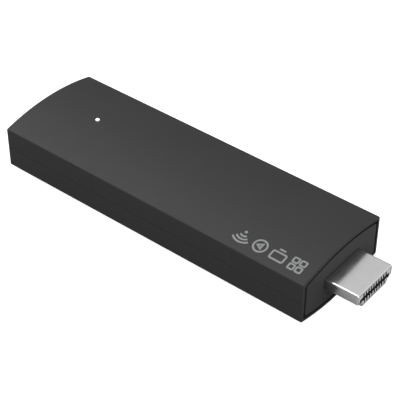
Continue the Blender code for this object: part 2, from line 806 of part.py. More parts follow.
# ---------------------------------------------------------------- shield and heat path
def shield_levels():
    """Heights of the shield frame's foot and top, and of the lid's top."""
    low = BOARD_TOP + TOUCH
    top = low + SHIELD_HEIGHT
    return low, top, top + TOUCH + SHIELD_SHEET


def spreader_levels():
    low = shield_levels()[2] + TOUCH + PAD_THICKNESS + TOUCH
    return low, low + SPREADER_THICKNESS


def shield_block(inset, low, high, radius):
    half = SHIELD_HALF_WIDTH - inset
    return block((SHIELD_LOW_X + inset, SHIELD_HIGH_X - inset), (-half, half), (low, high), radius)


def shield_frame():
    low, top, _ = shield_levels()
    piece = make("shield_frame", shield_block(0.0, low, top, 0.5), "tin")
    cut(piece, "inside", shield_block(SHIELD_SHEET, low - 1.0, top - SHIELD_SHEET, 0.3))
    cut(piece, "window", shield_block(SHIELD_RIM, low, top + 1.0, 0.3))


def shield_lid():
    _, top, lid_top = shield_levels()
    outer = -TOUCH - SHIELD_SHEET
    piece = make("shield_lid", shield_block(outer, lid_top - LID_SKIRT, lid_top, 0.7), "tin")
    cut(piece, "inside", shield_block(-TOUCH, lid_top - LID_SKIRT - 1.0, top + TOUCH, 0.5))


def heat_path():
    """Soft pad on the processor, the lid above it, a second pad, then the metal spreader."""
    low, top, lid_top = shield_levels()
    chip_top = low + CHIP_HEIGHT
    soc_pad = block((8.5, 20.5), (-6.0, 6.0), (chip_top + TOUCH, top), 0.4)
    make("thermal_pad_soc", soc_pad, "pad")
    pad_low = lid_top + TOUCH
    lid_pad = block((0.0, 20.0), (-9.0, 9.0), (pad_low, pad_low + PAD_THICKNESS), 0.4)
    make("thermal_pad_lid", lid_pad, "pad")
    x = (SPREADER_LOW_X, SPREADER_HIGH_X)
    y = (-SPREADER_HALF_WIDTH, SPREADER_HALF_WIDTH)
    make("heat_spreader", block(x, y, spreader_levels(), 1.5), "aluminium")


# ---------------------------------------------------------------- micro-USB power port
def usb_centre_z():
    return BOARD_LOW - TOUCH - USB_HEIGHT / 2


def usb_outline(inset):
    """The receptacle's mouth: flat on the board side, with cut corners below."""
    half = USB_WIDTH / 2 - inset
    top = usb_centre_z() + USB_HEIGHT / 2 - inset
    low = usb_centre_z() - USB_HEIGHT / 2 + inset
    points = [
        (USB_X + half, top),
        (USB_X - half, top),
        (USB_X - half, low + USB_CHAMFER),
        (USB_X - half + USB_CHAMFER, low),
        (USB_X + half - USB_CHAMFER, low),
        (USB_X + half, low + USB_CHAMFER),
    ]
    return rounded(points, [0.35, 0.35, 0.3, 0.3, 0.3, 0.3], CORNER_STEPS)


def usb_shell():
    rear = USB_MOUTH_Y - USB_DEPTH
    piece = make("usb_shell", prism(usb_outline(0.0), "Y", rear, USB_MOUTH_Y), "steel")
    cut(piece, "hollow", prism(usb_outline(USB_SHEET), "Y", rear - 1.0, USB_MOUTH_Y + 1.0))


def usb_contact_places():
    return [USB_X + (index - (USB_CONTACTS - 1) / 2) * USB_PITCH for index in range(USB_CONTACTS)]


def usb_levels():
    """Height of the tongue's underside, and rear end of the base block."""
    return usb_centre_z() - USB_TONGUE_THICKNESS / 2 + 0.25, USB_MOUTH_Y - USB_DEPTH + 0.1


def usb_tongue():
    under, rear = usb_levels()
    base_front = rear + USB_BASE_LENGTH
    base = prism(usb_outline(USB_SHEET + TOUCH), "Y", rear, base_front)
    piece = make("usb_tongue", base, "black_resin")
    half = USB_TONGUE_WIDTH / 2
    tongue_front = base_front + USB_TONGUE_LENGTH
    x = (USB_X - half, USB_X + half)
    add(piece, "blade", block(x, (rear + 0.5, tongue_front), (under, under + USB_TONGUE_THICKNESS)))
    channels = []
    reach = USB_CONTACT_WIDTH / 2 + TOUCH
    for place in usb_contact_places():
        levels = (under - USB_CONTACT_THICKNESS - 2 * TOUCH, under)
        channels.append(block((place - reach, place + reach), (rear - 1.0, tongue_front + 1.0), levels))
    cut(piece, "channels", together(*channels))


def usb_contacts():
    """Flat springs under the tongue whose tails turn up behind the base to the board."""
    under, rear = usb_levels()
    level = under - TOUCH - USB_CONTACT_THICKNESS / 2
    tail = BOARD_LOW - TOUCH - USB_CONTACT_THICKNESS / 2
    path = [
        (rear - 1.3, tail),
        (rear - 0.6, tail),
        (rear - 0.4, level),
        (rear + USB_BASE_LENGTH + USB_TONGUE_LENGTH - 0.3, level),
    ]
    outline = strip_outline(path, USB_CONTACT_THICKNESS)
    for index, x in enumerate(usb_contact_places()):
        sides = (x - USB_CONTACT_WIDTH / 2, x + USB_CONTACT_WIDTH / 2)
        make(f"usb_contact_{index + 1}", prism(outline, "X", *sides), "gold")


# ---------------------------------------------------------------- button and its switch
def button_outline(clearance):
    """The button's stadium-shaped face, grown by a clearance."""
    width = BUTTON_WIDTH + 2 * clearance
    height = BUTTON_HEIGHT + 2 * clearance
    return rectangle((BUTTON_X, BUTTON_Z), width, height, height / 2 - 0.01, 8)


def button_point():
    """A point on the button's axis of travel, in the plane of the side wall."""
    return (BUTTON_X, HALF_WIDTH, BUTTON_Z)


def button_axis():
    axis = bpy.data.objects.new("button_axis", None)
    axis.location = Vector(button_point()) * MM
    bpy.context.scene.collection.objects.link(axis)
    return axis


def hang_on(axis, piece):
    """Parents a moving piece, whose own origin is on the axis, to the axis empty."""
    piece.parent = axis
    piece.location = (0.0, 0.0, 0.0)


def upright_cylinder_y(radius, low, high, steps):
    """A pin along Y on the button's axis."""
    circle = rectangle((BUTTON_X, BUTTON_Z), 2 * radius, 2 * radius, radius * 0.999, steps)
    return prism(circle, "Y", low, high)


def reset_button(axis):
    face = HALF_WIDTH - BUTTON_RECESS
    flange_front = HALF_WIDTH - WALL - SLIP
    flange_rear = flange_front - BUTTON_FLANGE_THICKNESS
    nub_end = SWITCH_FRONT_Y + PLUNGER_STICKS_OUT + TOUCH
    cap = prism(button_outline(0.0), "Y", flange_front - 0.2, face)
    piece = make("reset_button", cap, "case", button_point())
    flange = rectangle((BUTTON_X, BUTTON_Z), BUTTON_FLANGE_WIDTH, BUTTON_FLANGE_HEIGHT, 0.3)
    add(piece, "flange", prism(flange, "Y", flange_rear, flange_front))
    add(piece, "nub", upright_cylinder_y(NUB_RADIUS, nub_end, flange_front - 0.2, 4))
    hang_on(axis, piece)


def switch_box(grow, rear, front):
    outline = rectangle((BUTTON_X, BUTTON_Z), SWITCH_WIDTH + 2 * grow, SWITCH_HEIGHT + 2 * grow)
    return prism(outline, "Y", rear, front)


def switch_base():
    front = SWITCH_FRONT_Y - SWITCH_SHEET - TOUCH
    piece = make("switch_base", switch_box(0.0, SWITCH_FRONT_Y - SWITCH_DEPTH, front), "black_resin")
    pocket = rectangle((BUTTON_X, BUTTON_Z), 2 * SWITCH_POCKET, SWITCH_POCKET)
    cut(piece, "pocket", prism(pocket, "Y", front - SWITCH_POCKET_DEPTH, front + 1.0))


def switch_cover():
    """The sheet-metal cap over the switch, with a window for the plunger."""
    outer = TOUCH + SWITCH_SHEET
    rear = SWITCH_FRONT_Y - 1.4
    piece = make("switch_cover", switch_box(outer, rear, SWITCH_FRONT_Y), "tin")
    cut(piece, "inside", switch_box(TOUCH, rear - 1.0, SWITCH_FRONT_Y - SWITCH_SHEET))
    window = rectangle((BUTTON_X, BUTTON_Z), PLUNGER_WIDTH + 2 * SLIP, PLUNGER_HEIGHT + 2 * SLIP)
    cut(piece, "window", prism(window, "Y", SWITCH_FRONT_Y - 1.0, SWITCH_FRONT_Y + 1.0))


def pocket_floor():
    return SWITCH_FRONT_Y - SWITCH_SHEET - TOUCH - SWITCH_POCKET_DEPTH


def switch_plunger(axis):
    """The part of the switch that the button pushes: a stem with a shoulder behind the cover."""
    tip = SWITCH_FRONT_Y + PLUNGER_STICKS_OUT
    shoulder = SWITCH_FRONT_Y - SWITCH_SHEET - SLIP
    rear = pocket_floor() + TOUCH + DOME_RISE + DOME_THICKNESS + TOUCH
    stem = rectangle((BUTTON_X, BUTTON_Z), PLUNGER_WIDTH, PLUNGER_HEIGHT, 0.1)
    piece = make("switch_plunger", prism(stem, "Y", rear, tip), "grey_resin", button_point())
    wide = rectangle((BUTTON_X, BUTTON_Z), 2 * PLUNGER_WIDTH, PLUNGER_HEIGHT + 0.4, 0.1)
    add(piece, "shoulder", prism(wide, "Y", shoulder - 0.5, shoulder))
    hang_on(axis, piece)


def switch_dome():
    """The sprung disc on the pocket's floor, bulging toward the plunger."""
    sphere = (DOME_RADIUS**2 + DOME_RISE**2) / (2 * DOME_RISE)
    rings = 4
    outer = []
    inner = []
    for step in range(rings + 1):
        radius = DOME_RADIUS * (1 - 0.95 * step / rings)
        rise = math.sqrt(sphere**2 - radius**2) - (sphere - DOME_RISE)
        outer.append((radius, rise + DOME_THICKNESS))
        inner.append((radius, rise))
    profile = inner[::-1] + outer
    piece = make("switch_dome", turned(profile, 24), "steel")
    piece.location = Vector((BUTTON_X, pocket_floor() + TOUCH, BUTTON_Z)) * MM
    piece.rotation_euler = (math.radians(-90), 0.0, 0.0)


def apply_booleans():
    """Turns every cut or joined piece into one plain mesh, shaded by its final edges."""
    bpy.context.view_layer.update()
    graph = bpy.context.evaluated_depsgraph_get()
    final = {}
    for piece in bpy.data.objects:
        if piece.modifiers:
            final[piece] = bpy.data.meshes.new_from_object(piece.evaluated_get(graph))
    for piece, mesh in final.items():
        piece.modifiers.clear()
        piece.data = mesh
        shade(mesh)
    for helper in [piece for piece in bpy.data.objects if piece.hide_render]:
        bpy.data.objects.remove(helper, do_unlink=True)


def clear_scene():
    for old in list(bpy.data.objects):
        bpy.data.objects.remove(old, do_unlink=True)


def build():
    clear_scene()
    top_shell()
    bottom_shell()
    end_panel()
    led_light_pipe()
    hdmi_plug_shell()
    hdmi_insulator()
    hdmi_contacts()
    main_board()
    board_parts()
    wireless_module()
    antennas()
    board_screws()
    shield_frame()
    shield_lid()
    heat_path()
    usb_shell()
    usb_tongue()
    usb_contacts()
    axis = button_axis()
    reset_button(axis)
    switch_base()
    switch_cover()
    switch_dome()
    switch_plunger(axis)
    apply_booleans()


build()
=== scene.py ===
"""Looks of the streaming media player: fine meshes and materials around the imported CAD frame.

Shapes are worked out in millimetres along the frame's axes: +X runs toward the HDMI plug, +Y points
to the side with the power port and the button, +Z is up. place_mesh() turns them into metres.
"""

import math

import bmesh
import bpy
from mathutils import Matrix, Vector


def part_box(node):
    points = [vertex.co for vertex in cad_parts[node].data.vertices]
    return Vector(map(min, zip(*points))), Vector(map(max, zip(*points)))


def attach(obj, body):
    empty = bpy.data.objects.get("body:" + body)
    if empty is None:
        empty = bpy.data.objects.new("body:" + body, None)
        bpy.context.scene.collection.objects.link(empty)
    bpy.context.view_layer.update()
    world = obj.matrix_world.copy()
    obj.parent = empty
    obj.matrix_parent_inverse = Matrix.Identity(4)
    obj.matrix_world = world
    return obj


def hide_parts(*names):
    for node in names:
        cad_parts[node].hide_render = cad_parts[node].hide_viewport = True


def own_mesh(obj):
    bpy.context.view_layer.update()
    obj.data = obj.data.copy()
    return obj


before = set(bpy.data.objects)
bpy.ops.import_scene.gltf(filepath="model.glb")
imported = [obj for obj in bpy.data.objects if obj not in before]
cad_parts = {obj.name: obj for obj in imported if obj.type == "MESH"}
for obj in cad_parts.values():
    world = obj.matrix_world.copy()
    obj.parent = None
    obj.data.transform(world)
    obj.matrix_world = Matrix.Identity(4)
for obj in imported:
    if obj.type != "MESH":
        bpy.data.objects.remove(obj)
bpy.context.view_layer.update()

MM = 0.001
SHARP_ANGLE = math.radians(40)


def limits(node):
    """Lowest and highest corner of a CAD node at rest, in millimetres."""
    low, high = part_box(node)
    return low / MM, high / MM


def middle(node):
    low, high = limits(node)
    return (low + high) / 2


# ---- the frame's driving places
SHELL_LOW, SHELL_HIGH = limits("top_shell")
TAIL_X = SHELL_LOW.x
END_X = SHELL_HIGH.x
HALF_WIDTH = SHELL_HIGH.y
FLOOR_Z = limits("bottom_shell")[0].z
PLUG_HIGH = limits("hdmi_plug_shell")[1]
# The rolled nose is a little shorter than the CAD's square-edged tube.
NOSE_SETBACK = 0.4
TIP_X = PLUG_HIGH.x - NOSE_SETBACK
BOARD_LOW, BOARD_TOP = [corner.z for corner in limits("main_board")]
LED_LOW, LED_HIGH = limits("led_light_pipe")
LED_X = middle("led_light_pipe").x
USB_LOW, USB_HIGH = limits("usb_shell")
USB_X, _, USB_Z = middle("usb_shell")
BUTTON_LOW, BUTTON_HIGH = limits("reset_button")
BUTTON_X, _, BUTTON_Z = middle("reset_button")
SPREADER_LOW, SPREADER_HIGH = limits("heat_spreader")

# ---- casing
SIDE_HEIGHT = 11.1
CROWN = 2.0
REST_WIDTH = 7.0
WALL = 1.1
MID_Z = SHELL_HIGH.z - CROWN - SIDE_HEIGHT / 2
CROWN_RADIUS = (HALF_WIDTH**2 + CROWN**2) / (2 * CROWN)
CORNER_RADIUS = 0.4
EDGE_RADIUS = 0.3
SEAM_GAP = 0.12
SEAM_RADIUS = 0.07
MOUTH_WALL = 0.75
MOUTH_RADIUS = 0.07
LIP_THICKNESS = 0.45
LIP_HEIGHT = 0.8
LIP_ROOT = 1.0
LIP_FRONT_X = END_X - 2.6
REBATE_DEPTH = 1.0
HOOK_PLACES = (TAIL_X + 6.0, 0.0, END_X - 13.0)
HOOK_WIDTH = 4.0
HOOK_DROP = 1.9
HOOK_ROOT = 2.6
HOOK_ARM = 0.7
HOOK_EMBED = 0.2
HOOK_NOSE = 0.25
HOOK_TAPER = 0.15
HOOK_NOSE_RISE = 0.7
HOOK_CATCH_RISE = 0.9
HOOK_SHOULDER = 0.2
POCKET_MARGIN = 0.2
POCKET_HEIGHT = 1.3
POCKET_DEPTH = 0.4
POCKET_OPENING = 0.3
RIB_PLACES = (-18.0, 26.0)
RIB_THICKNESS = 0.8
RIB_HALF_SPAN = 12.0
BOSS_RADIUS = 1.8
PILOT_RADIUS = 0.8
PILOT_MARGIN = 0.3
POST_RADIUS = 1.0
POST_INSET = 3.0
COLLAR_RADIUS = 1.8
COLLAR_LENGTH = 1.8
TOUCH = 0.05
SLIP = 0.1
# Where a turned profile steps in or out, its ledge slopes by this much.
LEDGE = 0.01

# ---- status light
TIP_RADIUS = 0.6
TIP_DOME = 0.42
PIPE_STEM = 0.8
PIPE_FLANGE = 0.6
BORE_RIM = 0.08

# ---- end panel
PANEL_GAP = 0.7
PANEL_THICKNESS = 1.9
FLANGE_THICKNESS = 0.8
FLANGE_DEPTH = 0.45
PANEL_CORNER = 0.5
PANEL_EDGE = 0.07
OPENING_RIM = 0.04

# ---- HDMI plug
PLUG_WIDTH = 2 * PLUG_HIGH.y
PLUG_HEIGHT = 4.45
PLUG_Z = PLUG_HIGH.z - PLUG_HEIGHT / 2
PLUG_REAR_X = END_X - 4.45
PLUG_SHEET = 0.35
PLUG_LIP = 0.5
PLUG_LIP_LENGTH = 0.5
PLUG_CORNER_RADIUS = 0.55
PLUG_STEP_RADIUS = 0.35
PLUG_LEAST_RADIUS = 0.1
PLUG_SIDE_LOW = -0.5
PLUG_STEP = (5.55, -1.15)
PLUG_FOOT_HALF_WIDTH = 4.95
PLUG_NOSE_RADIUS = 0.42
PLUG_MOUTH_RADIUS = 0.06
SEAM_LINE_WIDTH = 0.06
SEAM_LINE_DEPTH = 0.12
SEAM_LINE_SETBACK = 0.8
LEG_THICKNESS = 0.3
LEG_WIDTH = 1.2
LEG_ARM_LENGTH = 0.4
LEG_TOP = 1.2
LEG_WAIST = 0.3
LEG_INSET = 0.02
CORE_RECESS = 0.12
CORE_EDGE = 0.05
CAVITY_DEPTH = 0.8
CAVITY_EDGE = 0.1
CAVITY_CORNER = 0.12
CAVITY_HALF_WIDTH = 5.9
CAVITY_TOP = 0.5
CAVITY_LOW = -0.6
SLOT_WIDTH = 0.62
SLOT_REACH = 1.58
CONTACT_PITCH = 1.0
CONTACT_ROWS = ((10, 1), (9, -1))

# ---- port and button
USB_SHEET = 0.3
USB_CHAMFER = 0.9
USB_TOP_RADIUS = 0.35
USB_CUT_RADIUS = 0.3
USB_RIM = 0.1
USB_OPENING_MARGIN = Vector((0.4, 0.35))
USB_OPENING_RADIUS = 0.9
USB_BASE_LENGTH = 1.3
USB_CONTACT_THICKNESS = 0.15
TONGUE_HALF_WIDTH = 1.85
TONGUE_THICKNESS = 0.6
TONGUE_OVERLAP = 0.5
TONGUE_CORNER = 0.1
TONGUE_EDGE = 0.08
OPENING_DEPTH = 3.0
OPENING_EDGE = 0.15
BUTTON_WIDTH = 3.4
BUTTON_HEIGHT = 1.5
BUTTON_EDGE = 0.15
BUTTON_FLANGE = (4.6, 2.5, 0.6)
BUTTON_FLANGE_CORNER = 0.3
BUTTON_FLANGE_EDGE = 0.05
BUTTON_OVERLAP = 0.2
NUB_RADIUS = 0.6
NUB_EDGE = 0.1
# A button's half-round end keeps a short straight run between its two corners.
END_STRAIGHT = 0.01
DOME_THICKNESS = 0.1
# The part of the dome's radius that its flat middle covers.
DOME_MIDDLE = 0.02

# ---- mesh fineness
CROWN_STEPS = 24
ROUND_STEPS = 6
TURN_STEPS = 64
DOME_STEPS = 12
STATION_STEP = 4.0
PAST = 1.0


# ---- outlines
def rounded(points, radii, steps=ROUND_STEPS):
    """The polygon with each corner of non-zero radius replaced by an arc."""
    outline = []
    for index, radius in enumerate(radii):
        corner = Vector(points[index])
        if radius <= 0:
            outline.append(tuple(corner))
            continue
        before = (Vector(points[index - 1]) - corner).normalized()
        after = (Vector(points[(index + 1) % len(points)]) - corner).normalized()
        half_angle = before.angle(after) / 2
        tangent = radius / math.tan(half_angle)
        centre = corner + (before + after).normalized() * radius / math.sin(half_angle)
        start = corner + before * tangent - centre
        turn = start.angle_signed(corner + after * tangent - centre)
        for step in range(steps + 1):
            # angle_signed is positive clockwise, and a 2-D rotation is anticlockwise.
            arm = start.copy()
            arm.rotate(Matrix.Rotation(-turn * step / steps, 2))
            outline.append(tuple(centre + arm))
    return outline


def rectangle(centre, width, height, radius=0.0):
    a, b = centre
    points = [
        (a + width / 2, b + height / 2),
        (a - width / 2, b + height / 2),
        (a - width / 2, b - height / 2),
        (a + width / 2, b - height / 2),
    ]
    return rounded(points, [radius] * 4)


def inset_corners(points, distance):
    """The anticlockwise polygon's corners after every side moves inward by distance."""
    moved = []
    for index, point in enumerate(points):
        corner = Vector(point)
        arriving = (corner - Vector(points[index - 1])).normalized()
        leaving = (Vector(points[(index + 1) % len(points)]) - corner).normalized()
        normals = Vector((-arriving.y, arriving.x)), Vector((-leaving.y, leaving.x))
        scale = distance / (1 + normals[0].dot(normals[1]))
        moved.append(tuple(corner + (normals[0] + normals[1]) * scale))
    return moved


def crown_rise(y, inset=0.0):
    """Height of the arched face above the mid-plane, at a distance y from the centre line."""
    centre = SIDE_HEIGHT / 2 + CROWN - CROWN_RADIUS
    return centre + math.sqrt((CROWN_RADIUS - inset) ** 2 - y**2)


def crown_points(inset, side, half=None):
    """Points along the upper (side 1) or lower (side -1) arched face, in anticlockwise order."""
    half = HALF_WIDTH - inset if half is None else half
    flat = REST_WIDTH / 2 if side < 0 else half / (2 * CROWN_STEPS + 1)
    reaches = [half - (half - flat) * step / CROWN_STEPS for step in range(CROWN_STEPS + 1)]
    points = []
    for y in reaches + [-reach for reach in reversed(reaches)]:
        points.append((side * y, MID_Z + side * crown_rise(y, inset)))
    return points


def end_radii(count, radius):
    return [radius] + [0.0] * (count - 2) + [radius]


def lens_outline(inset, radius):
    """The body's whole cross-section: straight sides and arched top and bottom."""
    points = []
    radii = []
    for side in (1, -1):
        arc = crown_points(inset, side)
        points += arc
        radii += end_radii(len(arc), radius)
    return rounded(points, radii)


def half_outline(side, inset):
    """One casing half's cross-section; an inset moves every side of it but the seam."""
    arc = crown_points(inset, side)
    half = HALF_WIDTH - inset
    seam = MID_Z + side * SEAM_GAP / 2
    points = arc + [(-side * half, seam), (side * half, seam)]
    return rounded(points, end_radii(len(arc), CORNER_RADIUS - inset) + [SEAM_RADIUS] * 2)


def plug_outline(inset):
    """The HDMI type A plug's cross-section: wide above, stepping in to a narrow bottom."""
    half = PLUG_WIDTH / 2
    top = PLUG_HEIGHT / 2
    corners = [(half, top), (half, PLUG_SIDE_LOW), PLUG_STEP, (PLUG_FOOT_HALF_WIDTH, -top)]
    points = [(y, PLUG_Z + z) for y, z in corners]
    outer = max(PLUG_CORNER_RADIUS - inset, PLUG_LEAST_RADIUS)
    # The step's inner corner grows as the others shrink.
    radii = [outer, outer, PLUG_STEP_RADIUS + inset, outer]
    left = [(-y, z) for y, z in points[::-1]]
    inner = inset_corners((points + left)[::-1], inset)
    return rounded(inner, (radii + radii[::-1])[::-1])


def usb_outline(inset):
    """The power receptacle's mouth: flat on the board side, with cut corners below."""
    half = (USB_HIGH.x - USB_LOW.x) / 2 - inset
    top = USB_HIGH.z - inset
    low = USB_LOW.z + inset
    points = [
        (USB_X + half, top),
        (USB_X - half, top),
        (USB_X - half, low + USB_CHAMFER),
        (USB_X - half + USB_CHAMFER, low),
        (USB_X + half - USB_CHAMFER, low),
        (USB_X + half, low + USB_CHAMFER),
    ]
    return rounded(points, [USB_TOP_RADIUS] * 2 + [USB_CUT_RADIUS] * 4)


def usb_opening(inset):
    width = USB_HIGH.x - USB_LOW.x + 2 * (USB_OPENING_MARGIN.x - inset)
    height = USB_HIGH.z - USB_LOW.z + 2 * (USB_OPENING_MARGIN.y - inset)
    return rectangle((USB_X, USB_Z), width, height, USB_OPENING_RADIUS - inset)


def button_outline(inset):
    width = BUTTON_WIDTH - 2 * inset
    height = BUTTON_HEIGHT - 2 * inset
    return rectangle((BUTTON_X, BUTTON_Z), width, height, height / 2 - END_STRAIGHT)


# ---- solids
def loft(rings, axis):
    """A closed solid through (outline, level) rings, whose outlines all have as many points."""
    bm = bmesh.new()
    place = "XYZ".index(axis)
    loops = []
    for outline, level in rings:
        loop = []
        for pair in outline:
            coordinates = list(pair)
            coordinates.insert(place, level)
            loop.append(bm.verts.new(coordinates))
        loops.append(loop)
    bm.faces.new(loops[0][::-1])
    bm.faces.new(loops[-1])
    for near, far in zip(loops, loops[1:]):
        for index in range(len(near)):
            following = (index + 1) % len(near)
            bm.faces.new((near[index], near[following], far[following], far[index]))
    bmesh.ops.recalc_face_normals(bm, faces=bm.faces)
    return bm


def fillet(radius):
    """(inset, distance from the end face) pairs round an edge, from its side to its end face."""
    pairs = []
    for step in range(ROUND_STEPS + 1):
        angle = math.pi / 2 * step / ROUND_STEPS
        pairs.append((radius * (1 - math.cos(angle)), radius * (1 - math.sin(angle))))
    return pairs


def bar(outline_at, axis, low, high, low_radius=0.0, high_radius=0.0, stations=()):
    """A solid whose section is outline_at(inset), with rounded edges at its two ends."""
    rings = [(outline_at(inset), low + back) for inset, back in fillet(low_radius)[::-1]]
    rings += [(outline_at(0.0), level) for level in stations]
    rings += [(outline_at(inset), high - back) for inset, back in fillet(high_radius)]
    kept = [ring for index, ring in enumerate(rings) if index == 0 or ring[1] > rings[index - 1][1]]
    return loft(kept, axis)


def hole(outline_at, axis, low, face, radius):
    """A cutter from low out through a face, which rounds the hole's edge in that face."""
    rings = [(outline_at(0.0), low)]
    rings += [(outline_at(-inset), face - back) for inset, back in fillet(radius)]
    rings.append((outline_at(-radius), face + PAST))
    return loft(rings, axis)


def prism(outline, axis, low, high):
    return loft([(outline, low), (outline, high)], axis)


def block(x, y, z, radius=0.0):
    """A box between pairs of limits, with its upright edges rounded."""
    centre = ((x[0] + x[1]) / 2, (y[0] + y[1]) / 2)
    return prism(rectangle(centre, x[1] - x[0], y[1] - y[0], radius), "Z", *z)


def circle(centre, radius):
    points = []
    for step in range(TURN_STEPS):
        angle = 2 * math.pi * step / TURN_STEPS
        points.append((centre[0] + radius * math.cos(angle), centre[1] + radius * math.sin(angle)))
    return points


def turned(profile, centre, axis="Z"):
    """A solid of revolution from (radius, level) pairs of its outer side."""
    return loft([(circle(centre, radius), level) for radius, level in profile], axis)


def together(*shapes):
    """Several separate shapes as one mesh."""
    bm = bmesh.new()
    for shape in shapes:
        mesh = bpy.data.meshes.new("shape")
        shape.to_mesh(mesh)
        shape.free()
        bm.from_mesh(mesh)
        bpy.data.meshes.remove(mesh)
    return bm


def new_object(name, data):
    made = bpy.data.objects.new(name, data)
    bpy.context.scene.collection.objects.link(made)
    return made


def place_mesh(name, bm):
    """The shape as an object, in metres."""
    bmesh.ops.scale(bm, verts=bm.verts, vec=(MM, MM, MM))
    mesh = bpy.data.meshes.new(name)
    bm.to_mesh(mesh)
    bm.free()
    return new_object(name, mesh)


def cut(bm):
    return "DIFFERENCE", bm


def add(bm):
    return "UNION", bm


def assemble(name, base, *steps):
    """A piece made from a base shape and the cuts and additions that follow, as one plain mesh."""
    piece = place_mesh(name, base)
    helpers = []
    for operation, bm in steps:
        helper = place_mesh(name + "_helper", bm)
        modifier = piece.modifiers.new(operation, "BOOLEAN")
        modifier.operation = operation
        modifier.object = helper
        helpers.append(helper)
    bpy.context.view_layer.update()
    graph = bpy.context.evaluated_depsgraph_get()
    mesh = bpy.data.meshes.new_from_object(piece.evaluated_get(graph))
    piece.modifiers.clear()
    piece.data = mesh
    for helper in helpers:
        bpy.data.objects.remove(helper, do_unlink=True)
    return piece


def smooth(piece):
    """Smooth shading broken at real edges, with the flat faces keeping their own normals."""
    piece.data.shade_smooth()
    piece.data.set_sharp_from_angle(angle=SHARP_ANGLE)
    modifier = piece.modifiers.new("weighted_normals", "WEIGHTED_NORMAL")
    modifier.keep_sharp = True


def fit(piece, material, cad_node, body="casing"):
    """Finishes a piece that stands for a CAD node, and hangs it on its body."""
    smooth(piece)
    piece.data.materials.clear()
    piece.data.materials.append(material)
    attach(piece, body)
    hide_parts(cad_node)


# ---- casing halves
def half_body(side):
    count = round((END_X - TAIL_X) / STATION_STEP)
    stations = [TAIL_X + (END_X - TAIL_X) * step / count for step in range(1, count)]

    def section(inset):
        return half_outline(side, inset)

    return bar(section, "X", TAIL_X, END_X, EDGE_RADIUS, EDGE_RADIUS, stations)


def cavity():
    """The hollow of both halves."""
    return prism(lens_outline(WALL, CORNER_RADIUS), "X", TAIL_X + WALL, END_X + PAST)


def mouth():
    """The wider recess in front of the panel's flange, with its rim rounded."""

    def section(inset):
        return lens_outline(MOUTH_WALL + inset, CORNER_RADIUS - inset)

    return hole(section, "X", END_X - PANEL_THICKNESS - FLANGE_THICKNESS / 2, END_X, MOUTH_RADIUS)


def panel_groove():
    """The slot round the mouth that holds the end panel's flange."""
    front = END_X - PANEL_THICKNESS + TOUCH
    rear = END_X - PANEL_THICKNESS - FLANGE_THICKNESS - TOUCH
    return prism(lens_outline(WALL - FLANGE_DEPTH - TOUCH, CORNER_RADIUS), "X", rear, front)


def lip_block(inset, front, low, high):
    half = HALF_WIDTH - inset
    return block((TAIL_X + inset, front), (-half, half), (low, high))


def hooks():
    """Snap arms that hang from the top shell inside the side walls, each with a nose at its foot."""
    arm_out = WALL + SLIP
    arm_in = arm_out + HOOK_ARM
    embedded = WALL - HOOK_EMBED
    profile = [
        (embedded, HOOK_ROOT),
        (arm_in, HOOK_ROOT),
        (arm_in, -HOOK_DROP),
        (arm_out + HOOK_TAPER, -HOOK_DROP),
        (WALL - HOOK_NOSE, HOOK_NOSE_RISE - HOOK_DROP),
        (arm_out, HOOK_CATCH_RISE - HOOK_DROP),
        (arm_out, LIP_HEIGHT + HOOK_SHOULDER),
        (embedded, LIP_HEIGHT + HOOK_SHOULDER),
    ]
    arms = []
    for side in (1, -1):
        outline = [(side * (HALF_WIDTH - inset), MID_Z + rise) for inset, rise in profile]
        for x in HOOK_PLACES:
            arms.append(prism(outline, "X", x - HOOK_WIDTH / 2, x + HOOK_WIDTH / 2))
    return together(*arms)


def hook_pockets():
    """Pockets in the bottom shell's side walls for the snap arms' noses."""
    half = HOOK_WIDTH / 2 + POCKET_MARGIN
    low = MID_Z - HOOK_DROP - POCKET_MARGIN
    inner_face = HALF_WIDTH - WALL
    pockets = []
    for side in (1, -1):
        y = sorted((side * (inner_face + POCKET_DEPTH), side * (inner_face - POCKET_OPENING)))
        for x in HOOK_PLACES:
            pockets.append(block((x - half, x + half), y, (low, low + POCKET_HEIGHT)))
    return together(*pockets)


def spreader_posts():
    """Pins under the top shell that press the heat spreader onto its pad."""
    posts = []
    for x in (SPREADER_LOW.x + POST_INSET, SPREADER_HIGH.x - POST_INSET):
        for y in (SPREADER_LOW.y + POST_INSET, SPREADER_HIGH.y - POST_INSET):
            roof = MID_Z + crown_rise(y, WALL / 2)
            posts.append(turned([(POST_RADIUS, SPREADER_HIGH.z + TOUCH), (POST_RADIUS, roof)], (x, y)))
    return together(*posts)


def pipe_collar():
    under_crown = MID_Z + crown_rise(0.0, WALL)
    roof = MID_Z + crown_rise(0.0, WALL / 2)
    return turned([(COLLAR_RADIUS, under_crown - COLLAR_LENGTH), (COLLAR_RADIUS, roof)], (LED_X, 0.0))


def pipe_bore():
    """The light pipe's stepped bore, with a slightly rounded rim in the top."""
    under_crown = MID_Z + crown_rise(0.0, WALL)
    flange = (LED_HIGH.x - LED_LOW.x) / 2 + SLIP
    tip = TIP_RADIUS + TOUCH
    profile = [
        (flange, under_crown - COLLAR_LENGTH - PAST),
        (flange, under_crown - SLIP),
        (tip, under_crown - SLIP + LEDGE),
    ]
    profile += [(tip + inset, SHELL_HIGH.z - back) for inset, back in fillet(BORE_RIM)]
    profile.append((tip + BORE_RIM, SHELL_HIGH.z + PAST))
    return turned(profile, (LED_X, 0.0))


